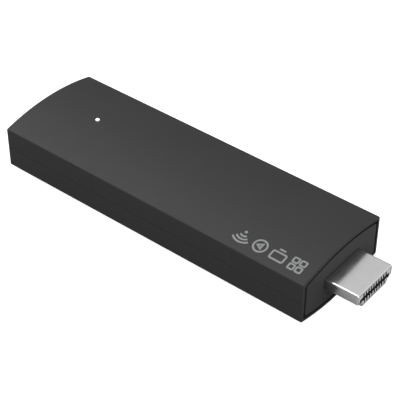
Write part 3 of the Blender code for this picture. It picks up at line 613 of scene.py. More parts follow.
def casing_top(material):
    rebate = WALL - LIP_THICKNESS - TOUCH
    rebate_top = MID_Z + LIP_HEIGHT + SLIP
    piece = assemble(
        "casing_top",
        half_body(1),
        cut(cavity()),
        cut(panel_groove()),
        cut(mouth()),
        cut(lip_block(rebate, LIP_FRONT_X + SLIP, MID_Z - REBATE_DEPTH, rebate_top)),
        add(hooks()),
        add(spreader_posts()),
        add(pipe_collar()),
        cut(pipe_bore()),
    )
    fit(piece, material, "top_shell")


def board_ribs():
    """Cross ribs that the board rests on, rising from the arched floor."""
    floor = crown_points(WALL / 2, -1, RIB_HALF_SPAN)
    top = BOARD_LOW - TOUCH
    outline = floor + [(RIB_HALF_SPAN, top), (-RIB_HALF_SPAN, top)]
    ribs = [prism(outline, "X", x - RIB_THICKNESS / 2, x + RIB_THICKNESS / 2) for x in RIB_PLACES]
    return together(*ribs)


def screw_columns(radius, low_at, high):
    """An upright cylinder at each board screw, from the level low_at gives for its y."""
    columns = []
    for node in ("board_screw_front", "board_screw_rear"):
        centre = middle(node)
        columns.append(turned([(radius, low_at(centre.y)), (radius, high)], centre.xy))
    return together(*columns)


def casing_bottom(material):
    lip = lip_block(WALL - LIP_THICKNESS, LIP_FRONT_X, MID_Z - LIP_ROOT, MID_Z + LIP_HEIGHT)
    screw_end = limits("board_screw_front")[0].z
    bosses = screw_columns(BOSS_RADIUS, lambda y: MID_Z - crown_rise(y, WALL / 2), BOARD_LOW - TOUCH)
    pilots = screw_columns(PILOT_RADIUS, lambda y: screw_end - PILOT_MARGIN, BOARD_LOW + PAST)

    def side_opening(outline_at):
        return cut(hole(outline_at, "Y", HALF_WIDTH - OPENING_DEPTH, HALF_WIDTH, OPENING_EDGE))

    piece = assemble(
        "casing_bottom",
        half_body(-1),
        add(lip),
        cut(cavity()),
        cut(panel_groove()),
        cut(mouth()),
        cut(hook_pockets()),
        add(bosses),
        cut(pilots),
        add(board_ribs()),
        side_opening(usb_opening),
        side_opening(lambda inset: button_outline(inset - SLIP)),
    )
    fit(piece, material, "bottom_shell")


def plug_end_panel(material):
    """The flat plate round the plug, held by its flange in the groove of both shells."""
    flange_front = END_X - PANEL_THICKNESS
    flange_rear = flange_front - FLANGE_THICKNESS

    def plate(inset):
        return lens_outline(MOUTH_WALL + PANEL_GAP + inset, PANEL_CORNER - inset)

    def opening(inset):
        return plug_outline(inset - TOUCH)

    flange = prism(lens_outline(WALL - FLANGE_DEPTH, CORNER_RADIUS), "X", flange_rear, flange_front)
    middle_x = flange_front - FLANGE_THICKNESS / 2
    piece = assemble(
        "plug_end_panel",
        bar(plate, "X", middle_x, END_X, 0.0, PANEL_EDGE),
        add(flange),
        cut(hole(opening, "X", flange_rear - PAST, END_X, OPENING_RIM)),
    )
    fit(piece, material, "end_panel")


# ---- status light
def status_light(material):
    """The clear pipe: a stem over the light chip, a flange under the crown and a domed tip."""
    under_crown = MID_Z + crown_rise(0.0, WALL) - 2 * SLIP
    flange_low = under_crown - PIPE_FLANGE
    flange = (LED_HIGH.x - LED_LOW.x) / 2
    profile = [
        (PIPE_STEM, LED_LOW.z),
        (PIPE_STEM, flange_low),
        (flange, flange_low + LEDGE),
        (flange, under_crown),
        (TIP_RADIUS, under_crown + LEDGE),
    ]
    for step in range(DOME_STEPS):
        angle = math.pi / 2 * step / DOME_STEPS
        profile.append((TIP_RADIUS * math.cos(angle), LED_HIGH.z + TIP_DOME * math.sin(angle)))
    piece = assemble("status_light", turned(profile, (LED_X, 0.0)))
    fit(piece, material, "led_light_pipe")


# ---- HDMI plug
def plug_legs():
    """Two legs at the rear of the plug's shell, through the board."""
    outer = PLUG_WIDTH / 2 - LEG_INSET
    corner = limits("hdmi_plug_shell")[0]
    rear, foot = corner.x, corner.z
    waist = BOARD_TOP + LEG_WAIST
    front = PLUG_REAR_X + LEG_ARM_LENGTH
    high = PLUG_Z + LEG_TOP
    profile = [
        (rear, foot),
        (rear + LEG_WIDTH, foot),
        (rear + LEG_WIDTH, waist),
        (front, waist),
        (front, high),
        (rear, high),
    ]
    legs = []
    for side in (1, -1):
        legs.append(prism(profile, "Y", *sorted((side * outer, side * (outer - LEG_THICKNESS)))))
    return together(*legs)


def shell_seam():
    """The fine closed joint along the underside, where the folded sheet meets."""
    x = (PLUG_REAR_X - PAST, TIP_X - SEAM_LINE_SETBACK)
    low = PLUG_Z - PLUG_HEIGHT / 2
    return block(x, (-SEAM_LINE_WIDTH / 2, SEAM_LINE_WIDTH / 2), (low - PAST, low + SEAM_LINE_DEPTH))


def plug_sheet_shell(material):
    """The sheet-metal shell, rolled in at its nose."""
    lip_x = TIP_X - PLUG_LIP_LENGTH

    def mouth(inset):
        return plug_outline(PLUG_LIP + inset)

    piece = assemble(
        "plug_sheet_shell",
        bar(plug_outline, "X", PLUG_REAR_X, TIP_X, 0.0, PLUG_NOSE_RADIUS),
        cut(prism(plug_outline(PLUG_SHEET), "X", PLUG_REAR_X - PAST, lip_x)),
        cut(hole(mouth, "X", lip_x - PAST, TIP_X, PLUG_MOUTH_RADIUS)),
        add(plug_legs()),
        cut(shell_seam()),
    )
    fit(piece, material, "hdmi_plug_shell")


def contact_slots(rear):
    """One slot above or below the cavity for each contact."""
    slots = []
    for count, side in CONTACT_ROWS:
        levels = sorted((PLUG_Z + side * (CAVITY_TOP - SLIP), PLUG_Z + side * SLOT_REACH))
        for index in range(count):
            y = (index - (count - 1) / 2) * CONTACT_PITCH
            slots.append(block((rear - PAST, TIP_X), (y - SLOT_WIDTH / 2, y + SLOT_WIDTH / 2), levels))
    return together(*slots)


def plug_core(material):
    """The moulded core: a wide central cavity between two rows of slots."""
    rear = limits("hdmi_insulator")[0].x
    shoulder = TIP_X - PLUG_LIP_LENGTH - TOUCH
    front = TIP_X - CORE_RECESS

    def core_face(inset):
        return plug_outline(PLUG_LIP + TOUCH + inset)

    def tongue_space(inset):
        centre = (0.0, PLUG_Z + (CAVITY_TOP + CAVITY_LOW) / 2)
        height = CAVITY_TOP - CAVITY_LOW - 2 * inset
        return rectangle(centre, 2 * (CAVITY_HALF_WIDTH - inset), height, CAVITY_CORNER - inset)

    piece = assemble(
        "plug_core",
        prism(plug_outline(PLUG_SHEET + TOUCH), "X", rear, shoulder),
        add(bar(core_face, "X", shoulder - TOUCH, front, 0.0, CORE_EDGE)),
        cut(hole(tongue_space, "X", END_X - CAVITY_DEPTH, front, CAVITY_EDGE)),
        cut(contact_slots(rear)),
    )
    fit(piece, material, "hdmi_insulator")


# ---- power port
def port_shell(material):
    rear, front = USB_LOW.y, USB_HIGH.y

    def inside(inset):
        return usb_outline(USB_SHEET + inset)

    piece = assemble(
        "port_shell",
        bar(usb_outline, "Y", rear, front, 0.0, USB_RIM),
        cut(hole(inside, "Y", rear - PAST, front, USB_RIM)),
    )
    fit(piece, material, "usb_shell")


def port_tongue(material):
    """The base block of the receptacle and its blade, with a channel under it for each contact."""
    low, high = limits("usb_tongue")
    contact_low, contact_high = limits("usb_contact_1")
    under = contact_low.z + USB_CONTACT_THICKNESS + TOUCH
    channel_levels = (contact_low.z - TOUCH, under)

    def blade(inset):
        centre = (USB_X, under + TONGUE_THICKNESS / 2)
        height = TONGUE_THICKNESS - 2 * inset
        return rectangle(centre, 2 * (TONGUE_HALF_WIDTH - inset), height, TONGUE_CORNER)

    base = prism(usb_outline(USB_SHEET + TOUCH), "Y", low.y, low.y + USB_BASE_LENGTH)
    channels = []
    reach = (contact_high.x - contact_low.x) / 2 + TOUCH
    for number in range(1, 6):
        x = middle(f"usb_contact_{number}").x
        y = (low.y - PAST, high.y + PAST)
        channels.append(block((x - reach, x + reach), y, channel_levels))
    piece = assemble(
        "port_tongue",
        base,
        add(bar(blade, "Y", low.y + TONGUE_OVERLAP, high.y, 0.0, TONGUE_EDGE)),
        cut(together(*channels)),
    )
    fit(piece, material, "usb_tongue")


# ---- button and dome
def side_button(material):
    """The button's cap with its flange behind the wall and the nub that meets the switch."""
    flange_front = HALF_WIDTH - WALL - SLIP
    width, height, thickness = BUTTON_FLANGE
    cap_rear = flange_front - BUTTON_OVERLAP
    edge = BUTTON_FLANGE_EDGE

    def flange(inset):
        centre = (BUTTON_X, BUTTON_Z)
        return rectangle(centre, width - 2 * inset, height - 2 * inset, BUTTON_FLANGE_CORNER - inset)

    def nub(inset):
        return circle((BUTTON_X, BUTTON_Z), NUB_RADIUS - inset)

    piece = assemble(
        "side_button",
        bar(button_outline, "Y", cap_rear, BUTTON_HIGH.y, 0.0, BUTTON_EDGE),
        add(bar(flange, "Y", flange_front - thickness, flange_front, edge, edge)),
        add(bar(nub, "Y", BUTTON_LOW.y, cap_rear, NUB_EDGE, 0.0)),
    )
    fit(piece, material, "reset_button", "button")


def dome_spring(material):
    """The sprung disc under the plunger, which flattens as the button goes in."""
    low, high = limits("switch_dome")
    radius = (high.x - low.x) / 2
    rise = high.y - low.y - DOME_THICKNESS
    sphere = (radius**2 + rise**2) / (2 * rise)
    outer = []
    inner = []
    for step in range(DOME_STEPS + 1):
        reach = radius * (1 - (1 - DOME_MIDDLE) * step / DOME_STEPS)
        level = low.y + math.sqrt(sphere**2 - reach**2) - (sphere - rise)
        outer.append((reach, level + DOME_THICKNESS))
        inner.append((reach, level))
    centre = (middle("switch_dome").x, middle("switch_dome").z)
    piece = assemble("dome_spring", turned(inner[::-1] + outer, centre, "Y"))
    fit(piece, material, "switch_dome")
    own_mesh(piece)


# ---- printed mark
MARK_START_X = END_X - 2.7
MARK_TOP_Y = -13.2
MARK_SIZE = 3.8
MARK_PITCH = 5.1
MARK_STROKE = 0.45
MARK_STEP = 0.3
INK_RISE = 0.012
MITRE_LIMIT = 0.4
TILE_SIZE = 0.36
TILE_CORNER = 0.06
SCREEN_CORNER = 0.1


def resampled(path, closed):
    """The path in MARK_SIZE units with points added, so that a stroke follows the arched top."""
    points = [Vector(point) for point in path]
    if closed:
        points.append(points[0])
    fine = [points[0]]
    for start, stop in zip(points, points[1:]):
        count = max(1, math.ceil((stop - start).length * MARK_SIZE / MARK_STEP))
        fine += [start.lerp(stop, step / count) for step in range(1, count + 1)]
    return fine[:-1] if closed else fine


def arc(centre, radius, start, stop, steps=24):
    """Points along an arc, with angles in degrees anticlockwise from the right."""
    points = []
    for step in range(steps + 1):
        angle = math.radians(start + (stop - start) * step / steps)
        points.append((centre[0] + radius * math.cos(angle), centre[1] + radius * math.sin(angle)))
    return points


def pictograms():
    """Plain line icons, each a list of (path, closed), in a unit square with up as +y."""
    tiles = []
    for centre in ((0.24, 0.24), (0.76, 0.24), (0.76, 0.76), (0.24, 0.76)):
        tiles.append((rectangle(centre, TILE_SIZE, TILE_SIZE, TILE_CORNER), True))
    screen = [
        (rectangle((0.5, 0.59), 0.94, 0.58, SCREEN_CORNER), True),
        ([(0.28, 0.06), (0.72, 0.06)], False),
    ]
    play = [
        (arc((0.5, 0.5), 0.44, 0, 345), True),
        ([(0.4, 0.68), (0.4, 0.32), (0.7, 0.5)], True),
    ]
    waves = [(arc((0.5, 0.12), radius, 45, 135), False) for radius in (0.32, 0.56, 0.8)]
    waves.append((arc((0.5, 0.1), 0.045, 0, 330, 11), True))
    return (tiles, screen, play, waves)


def ribbon(bm, points, closed, place):
    """A thin strip of ink along a path, laid on the top by place(point, level)."""
    half = MARK_STROKE / 2 / MARK_SIZE
    sections = []
    for index, point in enumerate(points):
        before = points[index - 1] if closed or index > 0 else point
        after = points[(index + 1) % len(points)] if closed or index < len(points) - 1 else point
        directions = [run.normalized() for run in (point - before, after - point) if run.length > 0]
        normals = [Vector((-run.y, run.x)) for run in directions]
        across = sum(normals, Vector((0.0, 0.0))).normalized()
        across *= half / max(across.dot(normals[0]), MITRE_LIMIT)
        corners = ((across, INK_RISE), (-across, INK_RISE), (-across, -INK_RISE), (across, -INK_RISE))
        sections.append([bm.verts.new(place(point + offset, level)) for offset, level in corners])
    pairs = list(zip(sections, sections[1:]))
    if closed:
        pairs.append((sections[-1], sections[0]))
    else:
        bm.faces.new(sections[0])
        bm.faces.new(sections[-1][::-1])
    for near, far in pairs:
        for index in range(4):
            following = (index + 1) % 4
            bm.faces.new((near[index], far[index], far[following], near[following]))


def printed_mark(material):
    """Generic pictograms printed near the plug, upright when seen from the port's side."""
    bm = bmesh.new()
    for number, icon in enumerate(pictograms()):
        right = MARK_START_X - number * MARK_PITCH

        def place(point, level):
            x = right - point.x * MARK_SIZE
            y = MARK_TOP_Y + (1 - point.y) * MARK_SIZE
            return (x, y, MID_Z + crown_rise(y) + level)

        for path, closed in icon:
            ribbon(bm, resampled(path, closed), closed, place)
    bmesh.ops.recalc_face_normals(bm, faces=bm.faces)
    piece = place_mesh("printed_mark", bm)
    piece.data.materials.append(material)
    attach(piece, "casing")


# ---- material nodes
def node(tree, kind, inputs=None, **settings):
    """A shader node; each of its inputs is a value or another node's socket."""
    made = tree.nodes.new("ShaderNode" + kind)
    for key, value in settings.items():
        setattr(made, key, value)
    for key, value in (inputs or {}).items():
        if isinstance(value, bpy.types.NodeSocket):
            tree.links.new(value, made.inputs[key])
        else:
            made.inputs[key].default_value = value
    return made


def new_material(name):
    material = bpy.data.materials.new(name)
    material.use_nodes = True
    material.node_tree.nodes.clear()
    return material, material.node_tree


def principled(material, inputs):
    """The material, with its tree ended by a Principled shader."""
    shader = node(material.node_tree, "BsdfPrincipled", inputs)
    node(material.node_tree, "OutputMaterial", {"Surface": shader.outputs["BSDF"]})
    return material


def grain(tree, size, detail=2.0, stretch=(1.0, 1.0, 1.0)):
    """Noise between 0 and 1 whose features are about size millimetres, longer where stretched."""
    place = node(tree, "TexCoord").outputs["Object"]
    scale = [1 / (size * MM * factor) for factor in stretch]
    scaled = node(tree, "Mapping", {"Vector": place, "Scale": scale})
    noise = node(tree, "TexNoise", {"Vector": scaled.outputs["Vector"], "Scale": 1.0, "Detail": detail})
    return noise.outputs["Fac"]


def position(tree, axis):
    """A point's place along one of the frame's axes, in metres."""
    place = node(tree, "TexCoord").outputs["Object"]
    return node(tree, "SeparateXYZ", {"Vector": place}).outputs[axis]


def spread(tree, value, low, high, start=0.3, stop=0.7):
    """A value between start and stop turned into one between low and high."""
    inputs = {"Value": value, "From Min": start, "From Max": stop, "To Min": low, "To Max": high}
    return node(tree, "MapRange", inputs).outputs["Result"]


def calculate(tree, operation, first, second):
    return node(tree, "Math", {0: first, 1: second}, operation=operation).outputs["Value"]


def opaque(colour):
    """A colour input: a socket as it is, or three channels with full alpha."""
    return colour if isinstance(colour, bpy.types.NodeSocket) else (*colour, 1.0)


def blend_colours(tree, factor, first, second):
    """The first colour at factor 0 and the second at 1; either can be another node's socket."""
    # The colour mix node's factor, its two colours and its result have these positions.
    mixed = node(tree, "Mix", {0: factor, 6: opaque(first), 7: opaque(second)}, data_type="RGBA")
    return mixed.outputs[2]


def mottled(tree, pattern, first, second):
    """Two colours that follow a noise pattern."""
    return blend_colours(tree, spread(tree, pattern, 0.0, 1.0), first, second)


def relief(tree, height, depth, strength=1.0):
    """A normal bent by a height map of a given depth in millimetres."""
    bump = node(tree, "Bump", {"Height": height, "Distance": depth * MM, "Strength": strength})
    return bump.outputs["Normal"]


def edge_wear(tree, radius):
    """1 on the object's rounded edges and 0 on its open faces."""
    eased = node(tree, "Bevel", {"Radius": radius * MM}, samples=BEVEL_SAMPLES).outputs["Normal"]
    plain = node(tree, "NewGeometry").outputs["Normal"]
    facing = node(tree, "VectorMath", {0: eased, 1: plain}, operation="DOT_PRODUCT")
    return spread(tree, facing.outputs["Value"], 1.0, 0.0, *EDGE_COSINES)


# ---- materials
CASE_COLOUR = (0.0148, 0.0148, 0.0156)
PANEL_COLOUR = (0.0200, 0.0183, 0.0190)
STEEL_COLOURS = ((0.605, 0.60, 0.60), (0.625, 0.62, 0.618))
# Painted shade at the plug's root: its dark colour, and how far along the plug it fades out.
PAINTED_SHADE_STEEL = (0.36, 0.36, 0.36)
PAINTED_SHADE_LENGTH = 2.0
CORE_COLOURS = ((0.42, 0.42, 0.425), (0.48, 0.48, 0.485))
# Painted shade inside the plug core's slots and cavity.
SHADED_CORE = (0.02, 0.02, 0.02)
GOLD_COLOURS = ((0.83, 0.61, 0.26), (0.71, 0.50, 0.20))
# Painted shade on the contacts' front ends, deep in the plug's slots.
SHADED_GOLD = (0.03, 0.028, 0.025)
MASK_COLOURS = ((0.010, 0.075, 0.034), (0.020, 0.135, 0.062))
# The light pipe's dim colour, and the painted glow of its lit tip.
PIPE_AND_PAINTED_GLOW_COLOURS = ((0.10, 0.10, 0.10), (0.85, 0.88, 0.90))
LIGHT_COLOUR = (0.96, 0.98, 1.0, 1.0)
INK_COLOURS = ((0.14, 0.143, 0.143), (0.168, 0.171, 0.171))
FLOOR_COLOURS = ((0.35, 0.35, 0.35), (0.37, 0.37, 0.37))
CASE_ROUGHNESS = 0.63
PATCHINESS = 0.03
CASE_GLOSS = 0.338
# Factors for darker clouds, lighter clouds and rubbed edges.
CASE_SHADES = (0.93, 1.06, 1.5)
CLOUD_SIZE = 14.0
WEAR_RADIUS = 0.25
WEAR_PATCH = 1.5
WEAR_POLISH = 0.15
CASE_TEXTURE = 0.22
PANEL_TEXTURE = 0.3
# A bevelled normal's agreement with the plain one, on a rubbed edge and on an open face.
EDGE_COSINES = (0.92, 0.995)
BEVEL_SAMPLES = 4
EASED_EDGE = 0.03
EASED_SEGMENTS = 2
WELD_DISTANCE = 0.001
# A resin's name, two colours, speckle size in mm, roughness and relief in mm, then its CAD nodes.
TONGUE_RESIN = ("tongue_resin", (0.016, 0.016, 0.017), (0.03, 0.03, 0.03), 0.15, 0.5, 0.01)
CHIPS = ("soc_package", "memory_chip_1", "memory_chip_2", "flash_chip", "power_chip", "switch_base")
PADS = ("thermal_pad_soc", "thermal_pad_lid")
INDUCTORS = ("power_inductor_1", "power_inductor_2")
RESINS = (
    ("package_resin", (0.014, 0.014, 0.015), (0.03, 0.03, 0.031), 0.12, 0.5, 0.01, CHIPS),
    ("soft_thermal_pad", (0.30, 0.37, 0.47), (0.40, 0.47, 0.57), 0.35, 0.85, 0.05, PADS),
    ("sintered_ferrite", (0.07, 0.07, 0.08), (0.13, 0.13, 0.14), 0.2, 0.7, 0.03, INDUCTORS),
    ("tantalum_resin", (0.70, 0.44, 0.09), (0.80, 0.52, 0.12), 0.3, 0.45, 0.01, ["bulk_capacitor"]),
    ("phosphor_resin", (0.86, 0.80, 0.50), (0.92, 0.88, 0.64), 0.2, 0.3, 0.005, ["led_chip"]),
    ("plunger_resin", (0.30, 0.30, 0.31), (0.38, 0.38, 0.39), 0.15, 0.5, 0.01, ["switch_plunger"]),
)
# A metal's name, colour, roughness and the stretch of its marks, then its CAD nodes.
SPRING_STEEL = ("spring_steel", (0.62, 0.61, 0.60), 0.25, (1.0, 1.0, 8.0))
ANTENNAS = ("antenna_main", "antenna_aux")
TINNED = ("shield_frame", "shield_lid", "wireless_module", "crystal", "switch_cover", *ANTENNAS)
METALS = (
    ("tinned_sheet", (0.70, 0.69, 0.66), 0.36, (40.0, 1.0, 1.0), TINNED),
    ("screw_steel", (0.55, 0.55, 0.56), 0.3, (1.0, 1.0, 12.0), ["board_screw_front"]),
    ("screw_zinc", (0.56, 0.56, 0.57), 0.3, (1.0, 1.0, 12.0), ["board_screw_rear"]),
    ("spreader_metal", (0.75, 0.76, 0.77), 0.42, (1.0, 30.0, 1.0), ["heat_spreader"]),
)


def shade(colour, factor):
    return [channel * factor for channel in colour]


def moulded_plastic(name, colour, texture):
    """Matte moulded plastic: spark-eroded grain, faint cloudiness and slightly rubbed edges."""
    material, tree = new_material(name)
    fine = grain(tree, texture, 3.0)
    clouds = grain(tree, CLOUD_SIZE)
    edges = calculate(tree, "MULTIPLY", edge_wear(tree, WEAR_RADIUS), grain(tree, WEAR_PATCH, 3.0))
    darker, lighter, worn = [shade(colour, factor) for factor in CASE_SHADES]
    rubbed = blend_colours(tree, edges, mottled(tree, clouds, darker, lighter), worn)
    patchy = spread(tree, clouds, CASE_ROUGHNESS - PATCHINESS, CASE_ROUGHNESS + PATCHINESS)
    polished = calculate(tree, "SUBTRACT", patchy, calculate(tree, "MULTIPLY", edges, WEAR_POLISH))
    inputs = {
        "Base Color": rubbed,
        "Roughness": polished,
        "Specular IOR Level": CASE_GLOSS,
        "Normal": relief(tree, fine, 0.012, 0.6),
    }
    return principled(material, inputs)


def plated_steel():
    """Nickel plating with painted shade at the plug's root, lengthwise rolling marks and wipe marks."""
    material, tree = new_material("plated_steel")
    rolling = grain(tree, 0.05, 3.0, (60.0, 1.0, 1.0))
    smears = grain(tree, 2.2, 3.0)
    bright = mottled(tree, smears, *STEEL_COLOURS)
    # Painted shade: the steel is dark at the panel's face and fades to its own colour 2 mm along the
    # plug. This stands in for the shade and the dark panel's reflection at the root. Everything behind
    # the panel's face takes the dark colour, the power port's shell too.
    root = along_plug(tree, TIP_X - END_X, TIP_X - END_X - PAINTED_SHADE_LENGTH)
    marks = calculate(tree, "MULTIPLY", spread(tree, rolling, 0.0, 1.0), 0.03)
    inputs = {
        "Base Color": blend_colours(tree, root, PAINTED_SHADE_STEEL, bright),
        "Metallic": 1.0,
        "Roughness": calculate(tree, "ADD", spread(tree, smears, 0.17, 0.21), marks),
        "Normal": relief(tree, rolling, 0.0008),
    }
    return principled(material, inputs)


def sheet_metal(name, colour, roughness, stretch):
    """Plain stamped or rolled metal with faint directional marks and tarnish."""
    material, tree = new_material(name)
    rolling = grain(tree, 0.06, 2.0, stretch)
    tarnish = grain(tree, 3.0, 3.0)
    inputs = {
        "Base Color": mottled(tree, tarnish, colour, shade(colour, 0.86)),
        "Metallic": 1.0,
        "Roughness": spread(tree, rolling, roughness - 0.06, roughness + 0.08),
        "Normal": relief(tree, rolling, 0.002),
    }
    return principled(material, inputs)


def resin(name, first, second, size, roughness, depth):
    """A filled moulding resin, speckled between two colours."""
    material, tree = new_material(name)
    speckle = grain(tree, size, 3.0)
    inputs = {
        "Base Color": mottled(tree, speckle, first, second),
        "Roughness": spread(tree, speckle, roughness - 0.05, roughness + 0.05),
        "Normal": relief(tree, speckle, depth),
    }
    return principled(material, inputs)


def along_plug(tree, low, high):
    """0 inside the plug and 1 at its mouth, changing between two distances behind its tip."""
    return spread(tree, position(tree, "X"), 0.0, 1.0, (TIP_X - low) * MM, (TIP_X - high) * MM)


def core_resin():
    """The plug's core, pale on its front face, with painted shade inside its slots and cavity."""
    material, tree = new_material("pale_core")
    speckle = grain(tree, 0.25, 3.0)
    pale = mottled(tree, speckle, *CORE_COLOURS)
    # Painted shade: deeper than 0.2 mm behind the tip the core is almost black, and it is pale in front
    # of 0.13 mm.
    inputs = {
        "Base Color": blend_colours(tree, along_plug(tree, 0.20, 0.13), SHADED_CORE, pale),
        "Roughness": spread(tree, speckle, 0.45, 0.55),
        "Normal": relief(tree, speckle, 0.01),
    }
    return principled(material, inputs)


def contact_plating():
    """Gold plating with rolling marks, with painted shade toward the plug's mouth, where the contacts
    sit deep in their slots.
    """
    material, tree = new_material("gold_plate")
    rolling = grain(tree, 0.06, 2.0, (20.0, 1.0, 1.0))
    tarnish = grain(tree, 1.2, 3.0)
    # Painted shade: within 1.8 mm of the tip the contacts turn dark and less metallic, and they fade
    # back to gold by 2.6 mm.
    front = along_plug(tree, 2.6, 1.8)
    inputs = {
        "Base Color": blend_colours(tree, front, mottled(tree, tarnish, *GOLD_COLOURS), SHADED_GOLD),
        "Metallic": spread(tree, front, 1.0, 0.3, 0.0, 1.0),
        "Roughness": spread(tree, rolling, 0.22, 0.36),
        "Normal": relief(tree, rolling, 0.002),
    }
    return principled(material, inputs)


def board_laminate():
    """Green solder mask over a weave of copper tracks and a fine glass cloth."""
    material, tree = new_material("green_laminate")
    place = node(tree, "TexCoord").outputs["Object"]
    tracks = node(tree, "TexWave", {"Vector": place, "Scale": 260.0, "Distortion": 9.0, "Detail": 1.0})
    copper = spread(tree, tracks.outputs["Fac"], 0.0, 1.0, 0.72, 0.78)
    cloth = grain(tree, 0.3)
    height = calculate(tree, "ADD", copper, calculate(tree, "MULTIPLY", cloth, 0.3))
    inputs = {
        "Base Color": blend_colours(tree, copper, *MASK_COLOURS),
        "Roughness": spread(tree, cloth, 0.32, 0.45),
        "Normal": relief(tree, height, 0.02),
    }
    return principled(material, inputs)


def glowing_pipe():
    """Clear plastic whose domed tip shows the lit chip below it, brightest in the middle."""
    material, tree = new_material("glowing_pipe")
    rim_level = LED_HIGH.z * MM
    rise = spread(tree, position(tree, "Z"), 0.0, 1.0, rim_level, rim_level + TIP_DOME * MM)
    lit = calculate(tree, "MULTIPLY", rise, rise)
    haze = grain(tree, 0.2)
    brightness = spread(tree, lit, 0.1, 1.8, 0.0, 1.0)
    # Painted glow: besides the emission, the base colour goes from dim grey at the rim to near white at
    # the top of the dome.
    inputs = {
        "Base Color": blend_colours(tree, lit, *PIPE_AND_PAINTED_GLOW_COLOURS),
        "Roughness": spread(tree, haze, 0.15, 0.25),
        "Emission Color": LIGHT_COLOUR,
        "Emission Strength": calculate(tree, "MULTIPLY", brightness, spread(tree, haze, 0.9, 1.0)),
    }
    return principled(material, inputs)


def printing_ink():
    """Thin pad-printed ink with slightly uneven cover."""
    material, tree = new_material("printing_ink")
    cover = grain(tree, 0.25, 3.0)
    colour = mottled(tree, cover, *INK_COLOURS)
    return principled(material, {"Base Color": colour, "Roughness": spread(tree, cover, 0.5, 0.6)})


def clad(material, *nodes):
    """Gives carried-over CAD nodes a material, and joins their facets so that edges can be eased."""
    for name in nodes:
        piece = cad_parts[name]
        piece.data.materials.clear()
        piece.data.materials.append(material)
        weld = piece.modifiers.new("weld", "WELD")
        weld.merge_threshold = WELD_DISTANCE * MM
        bevel = piece.modifiers.new("eased_edges", "BEVEL")
        bevel.width = EASED_EDGE * MM
        bevel.segments = EASED_SEGMENTS
        bevel.limit_method = "ANGLE"
        bevel.angle_limit = SHARP_ANGLE


def clad_inside():
    """Materials of the pieces whose CAD shapes are right as they are."""
    contacts = [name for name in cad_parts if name.startswith(("hdmi_contact_", "usb_contact_"))]
    clad(contact_plating(), *contacts)
    clad(board_laminate(), "main_board")
    for *looks, nodes in RESINS:
        clad(resin(*looks), *nodes)
    for *looks, nodes in METALS:
        clad(sheet_metal(*looks), *nodes)


# ---- stage, light and camera
# Distances and sizes are in metres here, but the camera's aim is in millimetres.
CAMERA_AZIMUTH = math.radians(38.83)
CAMERA_ELEVATION = math.radians(39.43)
CAMERA_ROLL = math.radians(0.2)
CAMERA_DISTANCE = 0.32
CAMERA_LENS = 118.66
CAMERA_AIM = Vector((-0.3, 0.2, -1.4))
FLOOR_SIZE = 3.0
FLOOR_WHITE = 0.93
# Heights are those of a direction on a unit sphere; each band is (height from, height to).
SKY_BAND = (0.0, 1.0)
SKY_LEVELS = (0.167, 0.376)
CROWN_BAND = (0.231, 1.0)
CROWN_LEVELS = (0.0, 1.31)
LIGHT_DISTANCE = 0.9
# Name, azimuth and elevation in degrees, size in metres, power in watts.
SOFTBOXES = (
    ("main_softbox", 192.0, 56.6, 0.577, 5.7),
    ("fill_softbox", -22.0, 13.0, 1.0, 8.8),
    ("rear_softbox", 62.0, 10.0, 0.8, 1.7),
)


def floor_material():
    """A floor that reads as white to the camera and gives the object a softer, dimmer bounce."""
    material, tree = new_material("pale_floor")
    colour = blend_colours(tree, grain(tree, 40.0), *FLOOR_COLOURS)
    matte = node(tree, "BsdfDiffuse", {"Color": colour}).outputs["BSDF"]
    white = node(tree, "Emission", {"Strength": FLOOR_WHITE}).outputs["Emission"]
    seen = node(tree, "AddShader", {0: white, 1: matte}).outputs["Shader"]
    camera_ray = node(tree, "LightPath").outputs["Is Camera Ray"]
    choice = node(tree, "MixShader", {0: camera_ray, 1: matte, 2: seen})
    node(tree, "OutputMaterial", {"Surface": choice.outputs["Shader"]})
    return material


def build_floor():
    bm = bmesh.new()
    bmesh.ops.create_grid(bm, x_segments=1, y_segments=1, size=FLOOR_SIZE / 2 / MM)
    floor = place_mesh("floor", bm)
    floor.location.z = FLOOR_Z * MM
    floor.data.materials.append(floor_material())


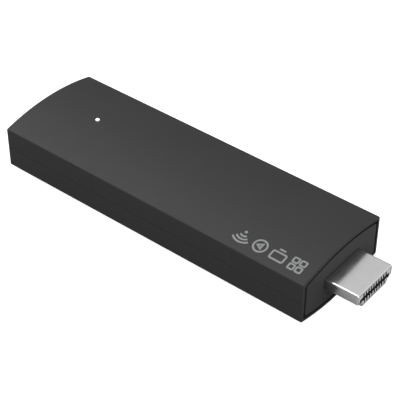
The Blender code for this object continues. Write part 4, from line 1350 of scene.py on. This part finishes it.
def build_sky():
    """A studio dome that is dim near the floor and bright overhead."""
    world = bpy.data.worlds.new("studio")
    world.use_nodes = True
    tree = world.node_tree
    tree.nodes.clear()
    direction = node(tree, "TexCoord").outputs["Generated"]
    height = node(tree, "SeparateXYZ", {"Vector": direction}).outputs["Z"]
    overall = spread(tree, height, *SKY_LEVELS, *SKY_BAND)
    crown = spread(tree, height, *CROWN_LEVELS, *CROWN_BAND)
    strength = calculate(tree, "ADD", overall, crown)
    background = node(tree, "Background", {"Strength": strength})
    node(tree, "OutputWorld", {"Surface": background.outputs["Background"]})
    bpy.context.scene.world = world


def softbox(name, azimuth, elevation, size, power):
    """A square area light in a direction given in degrees, aimed at the object."""
    around = Matrix.Rotation(math.radians(azimuth), 3, "Z")
    upward = Matrix.Rotation(-math.radians(elevation), 3, "Y")
    place = around @ upward @ Vector((LIGHT_DISTANCE, 0.0, 0.0))
    data = bpy.data.lights.new(name, "AREA")
    data.size = size
    data.energy = power
    light = new_object(name, data)
    light.location = place
    light.rotation_euler = (-place).to_track_quat("-Z", "Y").to_euler()


def build_camera():
    data = bpy.data.cameras.new("camera")
    data.lens = CAMERA_LENS
    camera = new_object("camera", data)
    around = Matrix.Rotation(CAMERA_AZIMUTH, 3, "Z")
    tilt = Matrix.Rotation(math.pi / 2 - CAMERA_ELEVATION, 3, "X")
    turn = around @ tilt @ Matrix.Rotation(CAMERA_ROLL, 3, "Z")
    centre = Vector(((TAIL_X + TIP_X) / 2, 0.0, MID_Z))
    target = (centre + CAMERA_AIM) * MM
    back = turn @ Vector((0.0, 0.0, 1.0))
    camera.matrix_world = Matrix.Translation(target + back * CAMERA_DISTANCE) @ turn.to_4x4()
    bpy.context.scene.camera = camera


def build_studio():
    build_floor()
    build_sky()
    for settings in SOFTBOXES:
        softbox(*settings)
    build_camera()
    bpy.context.scene.view_settings.view_transform = "Standard"


# ---- the whole scene
def build_object():
    case = moulded_plastic("case_moulding", CASE_COLOUR, CASE_TEXTURE)
    panel = moulded_plastic("panel_moulding", PANEL_COLOUR, PANEL_TEXTURE)
    steel = plated_steel()
    casing_top(case)
    casing_bottom(case)
    plug_end_panel(panel)
    status_light(glowing_pipe())
    plug_sheet_shell(steel)
    plug_core(core_resin())
    port_shell(steel)
    port_tongue(resin(*TONGUE_RESIN))
    side_button(case)
    dome_spring(sheet_metal(*SPRING_STEEL))
    printed_mark(printing_ink())
    clad_inside()


build_object()
build_studio()
